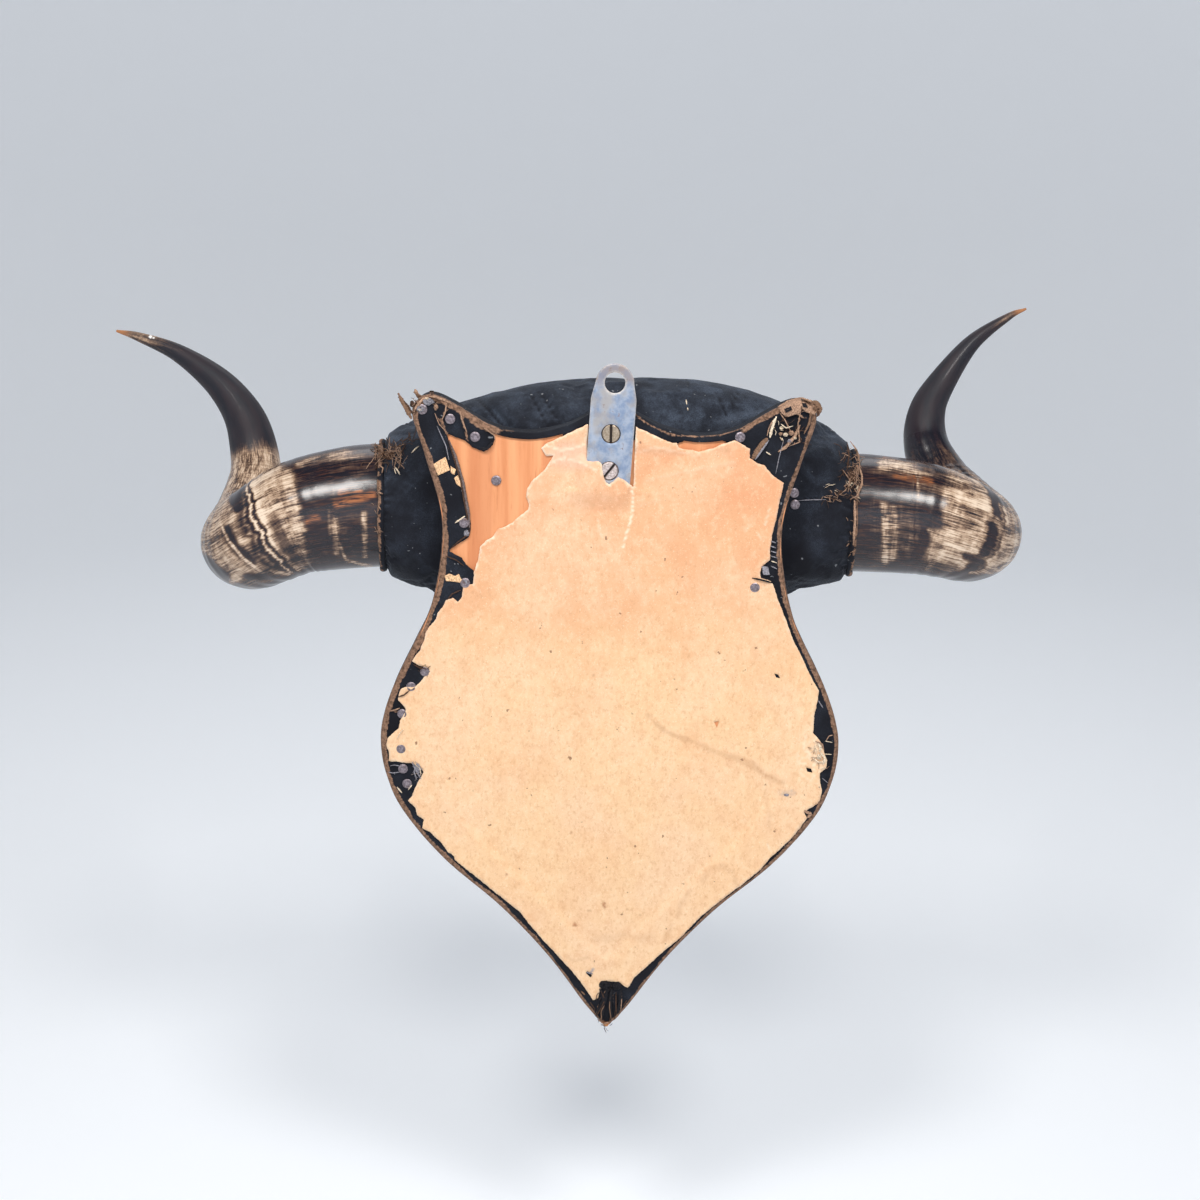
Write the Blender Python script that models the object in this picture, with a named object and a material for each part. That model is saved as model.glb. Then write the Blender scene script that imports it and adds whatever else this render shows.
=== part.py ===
"""Mounted steer horns on a shield shaped wall plaque.

The plaque hangs upright. The origin is the centre of the hanger's hole, on the plane
where the hanger touches the wall. +Y points from the wall into the room, +X is to the
right for someone who looks at the back, and +Z is up. The sizes below are in
millimetres. Meshes are made in metres.
"""
import math

import bmesh
import bpy
from mathutils import Matrix, Vector
from mathutils.geometry import delaunay_2d_cdt

MM = 0.001
GAP = 0.3

# Depths, counted from the wall
PLATE_THICK = 1.5
HEM_BACK = 1.8
HEM_THICK = 0.7
BOARD_BACK = 2.8
BOARD_THICK = 20.0
VELVET_THICK = 1.0
PAPER_THICK = 0.4
FRONT_ROUND = 5.0
BOARD_FRONT = BOARD_BACK + BOARD_THICK
VELVET_FRONT = BOARD_FRONT + GAP + VELVET_THICK
BOARD_INSET = VELVET_THICK + GAP

# Right half of the shield's outline, from the middle of the top down to the point
SHIELD_HALF = [
    (0, -14), (13, -18), (28, -25.5), (48, -29.5), (69, -26), (90, -14), (103, -8.8),
    (111, -12), (114.2, -21), (107, -45), (98, -84), (105, -131), (126, -176),
    (134.6, -199.5), (136.9, -218), (134, -238), (124.5, -261), (100, -292), (65, -324),
    (36, -357), (13, -390), (0, -405),
]
SHIELD_STEPS = 2
SHIELD_LEAN = 0.008
SHIELD_MIDDLE = Vector((0, -205))

# Width of the velvet turned over the back, by the direction seen from the middle
HEM_WIDTHS = [(-90, 22), (-60, 19), (40, 19), (57, 27), (62, 33), (66, 22), (70, 5), (82, 4), (90, 7)]

# Torn outline of the backing paper, clockwise from the hanger's right side
PAPER_EDGE = [
    (14, -25.8), (23.2, -29.1), (34.6, -33.4), (48.9, -38.3), (60.1, -34.6), (68.4, -32.5),
    (77.1, -37), (77.3, -41.2), (97, -56), (93.1, -76.8), (90.6, -96.3), (85.9, -107),
    (92.5, -117), (104.8, -140.4), (114.6, -160.3), (123.2, -178.7), (121.6, -205.6),
    (129.5, -219.3), (127, -250.7), (118.9, -256.1), (121, -261.2), (106.7, -278.5),
    (85.1, -299.3), (58.5, -325.9), (27.4, -359.7), (16.6, -375.7), (2.8, -371.2),
    (-6.3, -384), (-27.2, -356), (-50.8, -326.6), (-76.5, -305), (-100.7, -280.4),
    (-110.9, -268), (-116, -253), (-110.5, -234.6), (-116.5, -228.8), (-130.1, -228), (-131.5, -216),
    (-118, -206), (-116, -196), (-122, -189), (-106, -178), (-101, -170), (-115, -165),
    (-106, -145), (-97, -127.7), (-87, -122), (-80, -118.5), (-76.5, -95.1), (-63.2, -83.7),
    (-47.8, -71.2), (-46.7, -56.7), (-34.3, -43.2), (-40, -38.5), (-29.3, -31.7), (-16, -26),
    (-17.5, -40), (-18.5, -61), (8.5, -62.5), (12, -45),
]
PAPER_OVER_HEM = 1.1
PAPER_OVER_BOARD = 2.1
PAPER_STEP_START = 2.0
PAPER_STEP_END = 7.0

# Hanger plate, a steel strip with a rounded top that leans a little
PLATE_WIDTH = 25.6
PLATE_TOP_RADIUS = 10.8
PLATE_BOTTOM = -59.5
PLATE_LEAN = math.radians(-3.2)
HOLE_RADIUS = 5.8
SCREW_PLACES = {"upper": (-1.7, -28.7), "lower": (-2.4, -49.9)}
SCREW_SLOTS = {"upper": 0.0, "lower": math.radians(-38)}
SCREW_HEAD = 5.2
SCREW_SINK = 0.1
SCREW_SHANK = 2.0
SCREW_LENGTH = 17.0

# Nails that hold the hem, and two in the velvet centre beside the board
HEM_NAILS = [
    (-92.5, -22), (-78.5, -31.9), (-108.2, -16.8), (-85, -81.7), (-84.6, -117.2),
    (-108.5, -171.7), (-116.8, -181.1), (-122.4, -198), (-123.4, -220.1), (-122.4, -232.8),
    (-120.1, -242.3), (83.4, -117.1), (71.3, -29.5),
]
BOARD_NAILS = [(-66.6, -56.9)]
BOSS_NAILS = [(106.1, -65.3), (107, -72.2)]
NAIL_HEAD = 2.9
NAIL_HEAD_THICK = 0.7
NAIL_SHANK = 0.8
NAIL_LENGTH = 11.0
NAIL_SIDES = 8

# Padded centre that carries the horns
BOSS_BACK = VELVET_FRONT + GAP
BOSS_AXIS = 66.8
BOSS_DEPTH = 57.0
BOSS_HALF_HEIGHT = 74.5
BOSS_MIDDLE_Z = -80.5
CUFF_Z = -85.4
CUFF_LEAN = 0.1
CUFF_ROUND = 1.4
CUFFS = {"left": (-138.4, 40.8), "right": (145.0, 39.4)}
BOSS_FLANK_RISE = {"left": -4.0, "right": 8.0}
BOSS_SWELL = 2.5
BOSS_SIDES = 28
BOSS_STATIONS = [1.0, 0.97, 0.91, 0.83, 0.72, 0.56, 0.36, 0.13]
SOCKET_DEPTH = 12.0
SOCKET_CLEAR = 0.8

# Horn centre lines: x, y, z and radius, from inside the cuff out to the tip
HORNS = {
    "left": [
        (-126.8, 67.9, -85.2, 37.8), (-150, 65.3, -86.0, 37.6), (-168, 62.9, -88.2, 36.7), (-190.5, 59.0, -92.6, 34.8),
        (-209.0, 58.8, -101.8, 32.0), (-222.5, 68.5, -110.2, 29.9), (-232.0, 88.0, -113.0, 26.1),
        (-234.6, 116.0, -103.5, 21.4), (-235.1, 142.0, -82.3, 16.9), (-240.0, 156.0, -61.3, 15.0),
        (-248.5, 165.0, -43.5, 12.8), (-265.5, 172.0, -24.5, 9.8), (-292.3, 178.0, -7.0, 6.0),
        (-318.0, 180.5, 2.8, 3.2), (-333.7, 181.5, 6.7, 0.8),
    ],
    "right": [
        (133.4, 67.8, -85.2, 36.2), (158, 65.3, -85.2, 36.0), (186.0, 60.4, -86.4, 34.4),
        (206.0, 58.8, -91.0, 32.2), (220.5, 67.0, -97.0, 29.8), (229.0, 84.0, -98.5, 26.6),
        (226.5, 108.0, -90.8, 22.2), (216.5, 132.0, -76.5, 18.0), (207.5, 148.0, -56.0, 14.8),
        (208.8, 160.0, -35.0, 12.0), (219.5, 168.5, -15.8, 9.1), (238.9, 176.0, 9.1, 5.5),
        (262.7, 181.0, 26.2, 2.5), (274.5, 182.0, 31.7, 0.7),
    ],
}
HORN_SIDES = 22
HORN_STEPS = 2

# Twisted trim where each horn leaves the velvet
BRAID_WIDTH = 4.0
BRAID_THICK = 2.2
BRAID_CLEAR = 0.8

COLOURS = {
    "board": ((0.55, 0.27, 0.12), 0.75, 0.0),
    "velvet": ((0.012, 0.013, 0.018), 0.95, 0.0),
    "paper": ((0.72, 0.47, 0.27), 0.85, 0.0),
    "steel": ((0.24, 0.31, 0.38), 0.45, 1.0),
    "screw": ((0.36, 0.30, 0.24), 0.4, 1.0),
    "nail": ((0.45, 0.42, 0.42), 0.4, 1.0),
    "horn": ((0.045, 0.03, 0.025), 0.22, 0.0),
    "braid": ((0.20, 0.14, 0.09), 0.9, 0.0),
}


def material(name):
    colour, roughness, metallic = COLOURS[name]
    found = bpy.data.materials.get(name)
    if found is None:
        found = bpy.data.materials.new(name)
        found.use_nodes = True
        shader = found.node_tree.nodes["Principled BSDF"]
        shader.inputs["Base Color"].default_value = (*colour, 1.0)
        shader.inputs["Roughness"].default_value = roughness
        shader.inputs["Metallic"].default_value = metallic
    return found


def add_object(name, bm, finish, cutter=False):
    """Turn a bmesh in millimetres into an object in metres."""
    bmesh.ops.scale(bm, vec=(MM, MM, MM), verts=bm.verts)
    bmesh.ops.recalc_face_normals(bm, faces=bm.faces)
    mesh = bpy.data.meshes.new(name)
    bm.to_mesh(mesh)
    bm.free()
    piece = bpy.data.objects.new(name, mesh)
    bpy.context.scene.collection.objects.link(piece)
    if cutter:
        piece.hide_render = True
        piece.display_type = "WIRE"
    else:
        mesh.materials.append(material(finish))
        mesh.shade_smooth()
        mesh.set_sharp_from_angle(angle=math.radians(40))
    return piece


def cut(piece, cutter):
    boolean = piece.modifiers.new("cut", "BOOLEAN")
    boolean.operation = "DIFFERENCE"
    boolean.object = cutter


def spline(points, steps):
    """Catmull-Rom curve through points of any dimension, ends included."""
    knots = [Vector(p) for p in points]
    knots = [knots[0] * 2 - knots[1]] + knots + [knots[-1] * 2 - knots[-2]]
    curve = []
    for a, b, c, d in zip(knots, knots[1:], knots[2:], knots[3:]):
        for step in range(steps):
            t = step / steps
            curve.append(0.5 * (b * 2 + (c - a) * t + (a * 2 - b * 5 + c * 4 - d) * t ** 2
                                + (b * 3 - a - c * 3 + d) * t ** 3))
    curve.append(knots[-2])
    return curve


def interpolate(table, at):
    for (a, low), (b, high) in zip(table, table[1:]):
        if at <= b:
            return low + (high - low) * max(0.0, at - a) / (b - a)
    return table[-1][1]


def shield_outline():
    """The velvet's outer edge, clockwise as seen from the back."""
    right = spline(SHIELD_HALF, SHIELD_STEPS)
    left = [Vector((-p.x, p.y)) for p in reversed(right[1:-1])]
    return [Vector((p.x + SHIELD_LEAN * max(0.0, -100 - p.y), p.y)) for p in right + left]


def inset(loop, distance):
    """Move a clockwise loop inwards by a distance, with mitred corners."""
    moved = []
    for index, point in enumerate(loop):
        before = (point - loop[index - 1]).normalized()
        after = (loop[(index + 1) % len(loop)] - point).normalized()
        along = (before + after).normalized()
        normal = Vector((along.y, -along.x))
        mitre = max(0.45, normal.dot(Vector((before.y, -before.x))))
        moved.append(point + normal * distance / mitre)
    return moved


def outline_reach(outline, direction):
    """Distance from the shield's middle to its outline, along a direction."""
    for start, end in zip(outline, outline[1:] + outline[:1]):
        near = start - SHIELD_MIDDLE
        side = end - start
        slope = direction.x * side.y - direction.y * side.x
        if abs(slope) < 1e-9:
            continue
        reach = (near.x * side.y - near.y * side.x) / slope
        along = (near.x * direction.y - near.y * direction.x) / slope
        if reach > 0 and -1e-6 <= along <= 1 + 1e-6:
            return reach
    return 0.0


def hem_reach(outline, direction):
    """Distance from the shield's middle to the hem's inner edge, along a direction."""
    angle = math.degrees(math.atan2(direction.y, abs(direction.x)))
    return outline_reach(outline, direction) - interpolate(HEM_WIDTHS, angle)


def hem_edge(outline, extra=0.0):
    loop = []
    for point in outline:
        direction = (point - SHIELD_MIDDLE).normalized()
        loop.append(SHIELD_MIDDLE + direction * (hem_reach(outline, direction) - extra))
    return loop


def at_depth(loop, y):
    return [Vector((p.x, y, p.y)) for p in loop]


def loft(rings):
    """A closed body from a row of rings with the same number of points."""
    bm = bmesh.new()
    rows = [[bm.verts.new(p) for p in ring] for ring in rings]
    for low, high in zip(rows, rows[1:]):
        for index in range(len(low)):
            after = (index + 1) % len(low)
            bm.faces.new((low[index], low[after], high[after], high[index]))
    bm.faces.new(rows[0])
    bm.faces.new(rows[-1])
    return bm


def front_rings(outline, side_inset, radius, front):
    """Rings of a rounded front edge, from the straight side to the flat front."""
    rings = []
    for angle in (0, 45, 90):
        turn = math.radians(angle)
        loop = inset(outline, side_inset + radius * (1 - math.cos(turn)))
        rings.append(at_depth(loop, front - radius * (1 - math.sin(turn))))
    return rings


def turned(bm, profile, centre, sides):
    """Add a body turned about an axis along Y. The profile lists radius and depth."""
    rows = []
    for radius, y in profile:
        if radius == 0:
            rows.append([bm.verts.new((centre[0], y, centre[1]))])
            continue
        ring = []
        for index in range(sides):
            angle = math.tau * (index + 0.5) / sides
            x = centre[0] + radius * math.cos(angle)
            ring.append(bm.verts.new((x, y, centre[1] + radius * math.sin(angle))))
        rows.append(ring)
    for low, high in zip(rows, rows[1:]):
        for index in range(sides):
            after = (index + 1) % sides
            corners = [low[index % len(low)], low[after % len(low)]]
            corners += [high[after % len(high)], high[index % len(high)]]
            bm.faces.new(dict.fromkeys(corners))
    for row in (rows[0], rows[-1]):
        if len(row) > 1:
            bm.faces.new(row)


def make_board(outline):
    back = at_depth(inset(outline, BOARD_INSET), BOARD_BACK)
    rings = [back] + front_rings(outline, BOARD_INSET, FRONT_ROUND, BOARD_FRONT)
    return add_object("shield_board", loft(rings), "board")


def make_velvet(outline):
    """One cloth over the front and the edge, turned over onto the back."""
    edge = hem_edge(outline)
    outer = front_rings(outline, 0.0, FRONT_ROUND + BOARD_INSET, VELVET_FRONT)
    inner = front_rings(outline, VELVET_THICK, FRONT_ROUND + GAP, BOARD_FRONT + GAP)
    rings = list(reversed(outer))
    rings.append(at_depth(outline, HEM_BACK))
    rings.append(at_depth(edge, HEM_BACK))
    rings.append(at_depth(edge, HEM_BACK + HEM_THICK))
    rings.append(at_depth(inset(outline, VELVET_THICK), HEM_BACK + HEM_THICK))
    rings += inner
    return add_object("velvet_cover", loft(rings), "velvet")


def paper_depth(outline, point):
    """The paper lies on the hem near the edge, and on the board further in."""
    offset = point - SHIELD_MIDDLE
    inside = hem_reach(outline, offset.normalized()) - offset.length
    share = (inside - PAPER_STEP_START) / (PAPER_STEP_END - PAPER_STEP_START)
    return PAPER_OVER_HEM + (PAPER_OVER_BOARD - PAPER_OVER_HEM) * min(1.0, max(0.0, share))


def make_paper(outline):
    loops = [[Vector(p) for p in PAPER_EDGE]]
    loops.append(hem_edge(outline, PAPER_STEP_START)[::2])
    loops.append(hem_edge(outline, PAPER_STEP_END)[::2])
    points = []
    edges = []
    for loop in loops:
        first = len(points)
        points += loop
        edges += [(first + i, first + (i + 1) % len(loop)) for i in range(len(loop))]
    paper = list(reversed(range(len(PAPER_EDGE))))
    places, _, faces, _, _, origins = delaunay_2d_cdt(points, edges, [paper], 1, 1e-4)
    bm = bmesh.new()
    corners = [bm.verts.new((p.x, paper_depth(outline, p), p.y)) for p in places]
    for face, origin in zip(faces, origins):
        if origin:
            bm.faces.new([corners[i] for i in face])
    bmesh.ops.delete(bm, geom=[v for v in bm.verts if not v.link_faces], context="VERTS")
    pulled = bmesh.ops.extrude_face_region(bm, geom=bm.faces[:], use_keep_orig=True)
    new_corners = [v for v in pulled["geom"] if isinstance(v, bmesh.types.BMVert)]
    bmesh.ops.translate(bm, vec=(0, PAPER_THICK, 0), verts=new_corners)
    return add_object("backing_paper", bm, "paper")


def make_plate():
    half = PLATE_WIDTH / 2
    outline = []
    for index in range(13):
        angle = math.pi * index / 12
        outline.append((PLATE_TOP_RADIUS * math.cos(angle), PLATE_TOP_RADIUS * math.sin(angle)))
    outline += [(-half, -9), (-half, PLATE_BOTTOM), (half, PLATE_BOTTOM), (half, -9)]
    turn = Matrix.Rotation(PLATE_LEAN, 2)
    loop = [turn @ Vector(p) for p in outline]
    plate = add_object("hanger_plate", loft([at_depth(loop, 0), at_depth(loop, PLATE_THICK)]), "steel")
    holes = bmesh.new()
    turned(holes, [(HOLE_RADIUS, -2), (HOLE_RADIUS, PLATE_THICK + 2)], (0, 0), 28)
    for place in SCREW_PLACES.values():
        wide = SCREW_HEAD + GAP + SCREW_SINK + 2
        narrow = SCREW_HEAD + GAP + SCREW_SINK - PLATE_THICK - 2
        turned(holes, [(wide, -2), (narrow, PLATE_THICK + 2)], place, 20)
    cut(plate, add_object("plate_cutter", holes, "", cutter=True))
    return plate


def make_screws(board):
    holes = bmesh.new()
    for name, place in SCREW_PLACES.items():
        bm = bmesh.new()
        neck = SCREW_SINK + SCREW_HEAD - SCREW_SHANK
        profile = [(SCREW_HEAD, SCREW_SINK), (SCREW_SHANK, neck), (SCREW_SHANK, SCREW_LENGTH - 4)]
        turned(bm, profile + [(0, SCREW_LENGTH)], place, 20)
        screw = add_object("screw_" + name, bm, "screw")
        slot = bmesh.new()
        bmesh.ops.create_cube(slot, size=1.0, matrix=Matrix.Diagonal((1.0, 2.0, 14.0, 1.0)))
        turn = Matrix.Translation((place[0], 0, place[1])) @ Matrix.Rotation(SCREW_SLOTS[name], 4, "Y")
        bmesh.ops.transform(slot, matrix=turn, verts=slot.verts)
        cut(screw, add_object("slot_cutter_" + name, slot, "", cutter=True))
        wide = SCREW_HEAD + SCREW_SINK + GAP - BOARD_BACK + 1.2
        bore = SCREW_SHANK + GAP
        sink = BOARD_BACK + wide - bore
        turned(holes, [(wide, BOARD_BACK - 1), (bore, sink), (bore, SCREW_LENGTH + 1)], place, 20)
    cut(board, add_object("screw_drill", holes, "", cutter=True))


def nail_profile(head):
    rim = head + NAIL_HEAD_THICK
    return [
        (NAIL_HEAD * 0.6, head), (NAIL_HEAD, head + 0.45), (NAIL_HEAD, rim),
        (NAIL_SHANK, rim), (NAIL_SHANK, rim + NAIL_LENGTH - 2), (0, rim + NAIL_LENGTH),
    ]


def make_nails(board, velvet, paper, boss):
    """Each nail stands in its own drilled hole, with its head on the cloth or the wood."""
    torn = bmesh.new()
    for place in HEM_NAILS:
        radius = NAIL_HEAD + GAP
        turned(torn, [(radius, 0), (radius, BOARD_BACK)], place, NAIL_SIDES)
    cut(paper, add_object("paper_drill", torn, "", cutter=True))
    groups = [
        (HEM_NAILS, HEM_BACK, (board, velvet)),
        (BOARD_NAILS, BOARD_BACK, (board,)),
        (BOSS_NAILS, BOSS_BACK, (boss,)),
    ]
    number = 0
    for group, (places, surface, held_in) in enumerate(groups):
        holes = bmesh.new()
        head = surface - GAP - NAIL_HEAD_THICK
        bore = NAIL_SHANK + GAP + 0.05
        for place in places:
            number += 1
            bm = bmesh.new()
            turned(bm, nail_profile(head), place, NAIL_SIDES)
            add_object("nail_%02d" % number, bm, "nail")
            turned(holes, [(bore, surface - 0.6), (bore, head + NAIL_LENGTH + 2)], place, NAIL_SIDES)
        drill = add_object("nail_drill_%d" % group, holes, "", cutter=True)
        for piece in held_in:
            cut(piece, drill)


def horn_line(side):
    return spline(HORNS[side], HORN_STEPS)


def horn_at(side, x):
    """The horn's centre and radius where its line crosses a plane of constant x."""
    line = horn_line(side)
    for near, far in zip(line, line[1:]):
        if (near[0] - x) * (far[0] - x) <= 0:
            share = (x - near[0]) / (far[0] - near[0])
            return near.lerp(far, share)
    return line[0]


def cuff_lean(side, y):
    """The cuff is square to the horn, so its wall side lies a little further in."""
    return math.copysign(CUFF_LEAN, CUFFS[side][0]) * (y - BOSS_AXIS)


def boss_ring(side, station):
    """One slice across the padded centre. Station 0 is the middle, and 1 is the cuff."""
    cuff_x, cuff_radius = CUFFS[side]
    swell = 1 - station ** BOSS_SWELL
    pinch = CUFF_ROUND if station == 1.0 else 0.0
    half_height = cuff_radius + (BOSS_HALF_HEIGHT - cuff_radius) * swell - pinch
    half_depth = cuff_radius + (BOSS_DEPTH - cuff_radius) * swell - pinch
    middle_z = CUFF_Z + (BOSS_MIDDLE_Z - CUFF_Z + BOSS_FLANK_RISE[side] * station) * swell
    ring = []
    for index in range(BOSS_SIDES):
        angle = math.tau * index / BOSS_SIDES
        y = max(BOSS_BACK, BOSS_AXIS + half_depth * math.cos(angle))
        x = cuff_x * station + cuff_lean(side, y) * station ** 4
        ring.append(Vector((x, y, middle_z + half_height * math.sin(angle))))
    return ring


def socket_rings(side):
    """The round recess in the end of the padded centre that the horn's base sits in."""
    cuff_x, _ = CUFFS[side]
    inward = math.copysign(SOCKET_DEPTH, cuff_x)
    radius = HORNS[side][0][3] + SOCKET_CLEAR
    rings = []
    for x in (cuff_x - inward, cuff_x):
        centre = horn_at(side, x)
        ring = []
        for index in range(BOSS_SIDES):
            angle = math.tau * index / BOSS_SIDES
            y = centre[1] + radius * math.cos(angle)
            ring.append(Vector((x + cuff_lean(side, y), y, centre[2] + radius * math.sin(angle))))
        rings.append(ring)
    return rings


def make_boss():
    rings = socket_rings("left")
    rings += [boss_ring("left", station) for station in BOSS_STATIONS]
    rings += [boss_ring("right", station) for station in reversed(BOSS_STATIONS)]
    rings += reversed(socket_rings("right"))
    return add_object("velvet_boss", loft(rings), "velvet")


def make_horn(side):
    """Rings carried along the horn's centre line without twisting."""
    line = horn_line(side)
    centres = [Vector(p[:3]) for p in line]
    across = Vector((0, 1, 0))
    rings = []
    for index, centre in enumerate(centres):
        if index == 0:
            along = Vector((math.copysign(1, centre.x), -CUFF_LEAN, 0)).normalized()
        else:
            along = (centres[min(index + 1, len(centres) - 1)] - centres[index - 1]).normalized()
        across = (across - along * across.dot(along)).normalized()
        up = along.cross(across)
        ring = []
        for side_index in range(HORN_SIDES):
            angle = math.tau * side_index / HORN_SIDES
            ring.append(centre + line[index][3] * (across * math.cos(angle) + up * math.sin(angle)))
        rings.append(ring)
    return add_object("horn_" + side, loft(rings), "horn")


def make_braid(side):
    """A rounded band round the horn's base, just outside the cuff."""
    cuff_x, _ = CUFFS[side]
    outward = math.copysign(1, cuff_x)
    inner = BRAID_CLEAR
    profile = [(inner, 0), (inner + BRAID_THICK * 0.6, 0), (inner + BRAID_THICK, BRAID_WIDTH * 0.4)]
    profile += [(inner + BRAID_THICK * 0.6, BRAID_WIDTH), (inner, BRAID_WIDTH)]
    bm = bmesh.new()
    rows = []
    for index in range(BOSS_SIDES):
        angle = math.tau * index / BOSS_SIDES
        row = []
        for proud, step in profile:
            x = cuff_x + outward * (GAP + step)
            centre = horn_at(side, x)
            radius = centre[3] + proud
            y = centre[1] + radius * math.cos(angle)
            z = centre[2] + radius * math.sin(angle)
            row.append(bm.verts.new((x + cuff_lean(side, y), y, z)))
        rows.append(row)
    for row, following in zip(rows, rows[1:] + rows[:1]):
        for index in range(len(profile)):
            after = (index + 1) % len(profile)
            bm.faces.new((row[index], row[after], following[after], following[index]))
    return add_object("cuff_braid_" + side, bm, "braid")


def main():
    for old in list(bpy.data.objects):
        bpy.data.objects.remove(old, do_unlink=True)
    outline = shield_outline()
    board = make_board(outline)
    velvet = make_velvet(outline)
    paper = make_paper(outline)
    make_plate()
    make_screws(board)
    boss = make_boss()
    make_nails(board, velvet, paper, boss)
    for side in ("left", "right"):
        make_horn(side)
        make_braid(side)


main()
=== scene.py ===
"""Looks of the mounted steer horns: finish, torn paper, worn velvet, horn bands and frays.

Sizes are in millimetres in the part's own frame: the origin is the hanger's hole on the
wall plane, +Y points from the wall into the room, and +Z is up. Meshes are made in metres.
Lists whose names end in PHOTO hold pixels of the 1200 x 1200 photograph. They are laid
onto the piece that carries them with the camera below.
"""

import math
import random

import bmesh
import bpy
import numpy as np
from mathutils import Matrix, Vector
from mathutils.bvhtree import BVHTree
from mathutils.geometry import delaunay_2d_cdt
from mathutils.kdtree import KDTree


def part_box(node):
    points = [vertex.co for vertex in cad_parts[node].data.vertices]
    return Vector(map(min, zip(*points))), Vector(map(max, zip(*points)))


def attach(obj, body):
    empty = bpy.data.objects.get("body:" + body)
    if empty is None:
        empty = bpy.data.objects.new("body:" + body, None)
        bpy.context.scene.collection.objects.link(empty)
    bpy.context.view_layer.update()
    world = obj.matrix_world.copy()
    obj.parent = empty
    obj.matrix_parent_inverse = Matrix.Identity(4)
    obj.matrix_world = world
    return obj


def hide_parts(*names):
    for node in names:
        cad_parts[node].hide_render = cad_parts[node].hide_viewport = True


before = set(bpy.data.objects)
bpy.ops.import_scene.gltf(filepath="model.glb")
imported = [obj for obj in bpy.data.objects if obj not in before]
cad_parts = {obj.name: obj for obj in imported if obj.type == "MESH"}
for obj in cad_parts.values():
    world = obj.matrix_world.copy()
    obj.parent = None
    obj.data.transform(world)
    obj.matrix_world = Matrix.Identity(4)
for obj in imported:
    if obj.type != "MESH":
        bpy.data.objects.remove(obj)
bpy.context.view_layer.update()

MM = 0.001
GAP = 0.3

# Numbers that stir the seeds of the smooth noise
HASH_STEPS = np.array([73856093, 19349663, 83492791])
HASH_STIR = 1274126177
HASH_MASK = 0xFFFFFFFF
SLOPES = np.random.default_rng(7).normal(size=(256, 3))
SLOPES /= np.linalg.norm(SLOPES, axis=1, keepdims=True)

# Camera that took the photograph
PHOTO_SIZE = 1200
FOCAL_PIXELS = 1551.72
SENSOR = 36.0
PITCH = math.radians(15)
ROLL = math.radians(1)
CAMERA_DISTANCE = 900.0
CAMERA_AIM = np.array([-6.267, 0.0, -125.721])
FORWARD = np.array([0.0, math.cos(PITCH), -math.sin(PITCH)])
LEVEL_RIGHT = np.array([1.0, 0.0, 0.0])
LEVEL_UP = np.array([0.0, math.sin(PITCH), math.cos(PITCH)])
RIGHT = LEVEL_RIGHT * math.cos(ROLL) + LEVEL_UP * math.sin(ROLL)
UP = LEVEL_UP * math.cos(ROLL) - LEVEL_RIGHT * math.sin(ROLL)
EYE = CAMERA_AIM - FORWARD * CAMERA_DISTANCE

# Depths from the wall
PLATE_THICK = 1.5
HEM_BACK = 1.8
HEM_THICK = 0.7
BOARD_BACK = 2.8
VELVET_FRONT = 24.1
FRONT_ROUND = 6.3
RIM_ROUND = 3.4
FRONT_ANGLES = (90, 67, 45, 22, 0)
EDGE_DEPTHS = (15.0, 12.2, 9.4, 6.8)
RIM_ANGLES = (0, 18, 36, 54, 72, 90)
PAPER_OVER_HEM = 1.1
PAPER_OVER_BOARD = 2.3
PAPER_THICK = 0.35
PAPER_LAP_PROUD = 0.45

# Right half of the shield's outline, from the middle of the top down to the point
SHIELD_HALF = [
    (0, -14), (13, -18), (28, -25.5), (48, -29.5), (69, -26), (90, -14), (103, -8.8), (111, -12),
    (114.2, -21), (107, -45), (98, -84), (105, -131), (126, -176), (134.6, -199.5), (136.9, -218),
    (134, -238), (124.5, -261), (100, -292), (65, -324), (36, -357), (13, -390), (0, -405),
]
SHIELD_LEAN = 0.008
OUTLINE_STEP = 1.3
# Distances between the points that fill flat parts
FRONT_SPACING, HEM_SPACING = 3.2, 1.35
PAPER_SPACING, PLATE_SPACING = 1.45, 0.95

# Hanger and its screws
PLATE_WIDTH = 25.6
PLATE_TOP_RADIUS = 10.8
PLATE_BOTTOM = -59.5
PLATE_LEAN = math.radians(-3.2)
HOLE_RADIUS = 5.8
SCREW_HEAD = 5.2
SCREW_TAPER, SCREW_DEPTH = 0.45, 4.5
SCREWS = {"screw_upper": ((-1.7, -28.7), 0.0), "screw_lower": ((-2.4, -49.9), math.radians(38))}
NAIL_HEAD = 2.9
NAIL_NECK = 0.75
SCREW_RINGS, SCREW_SIDES = 26, 72
NAIL_RINGS, NAIL_SIDES = 8, 28
NAIL_COUNT = 16

# Padded velvet centre
BOSS_BACK = 24.4
BOSS_AXIS = 66.8
BOSS_DEPTH = 57.0
BOSS_HALF_HEIGHT = 74.5
BOSS_MIDDLE_Z = -80.5
CUFF_Z = -85.4
CUFF_LEAN = 0.1
CUFF_ROUND = 1.4
CUFFS = {"left": (-138.4, 40.8), "right": (145.0, 39.4)}
BOSS_FLANK_RISE = {"left": -4.0, "right": 8.0}
BOSS_SWELL = 2.5
BOSS_STEPS, BOSS_SIDES = 108, 300
CUFF_SIDES, CUFF_LOOPS = 200, 12
# Cloth simulation of the centre's velvet, on a coarser grid
SIM_STEPS, SIM_SIDES = 44, 120
SIM_FRAMES = 20
SIM_QUALITY = 5
SIM_MASS = 0.15
SIM_PRESSURE = 4.0
SIM_STIFFNESS = 0.3
SIM_SLACK = -0.035
SIM_SMOOTHING = 60
SIM_CAP = 4.0
SOCKET_DEPTH = 12.0
SOCKET_CLEAR = 0.8

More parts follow.
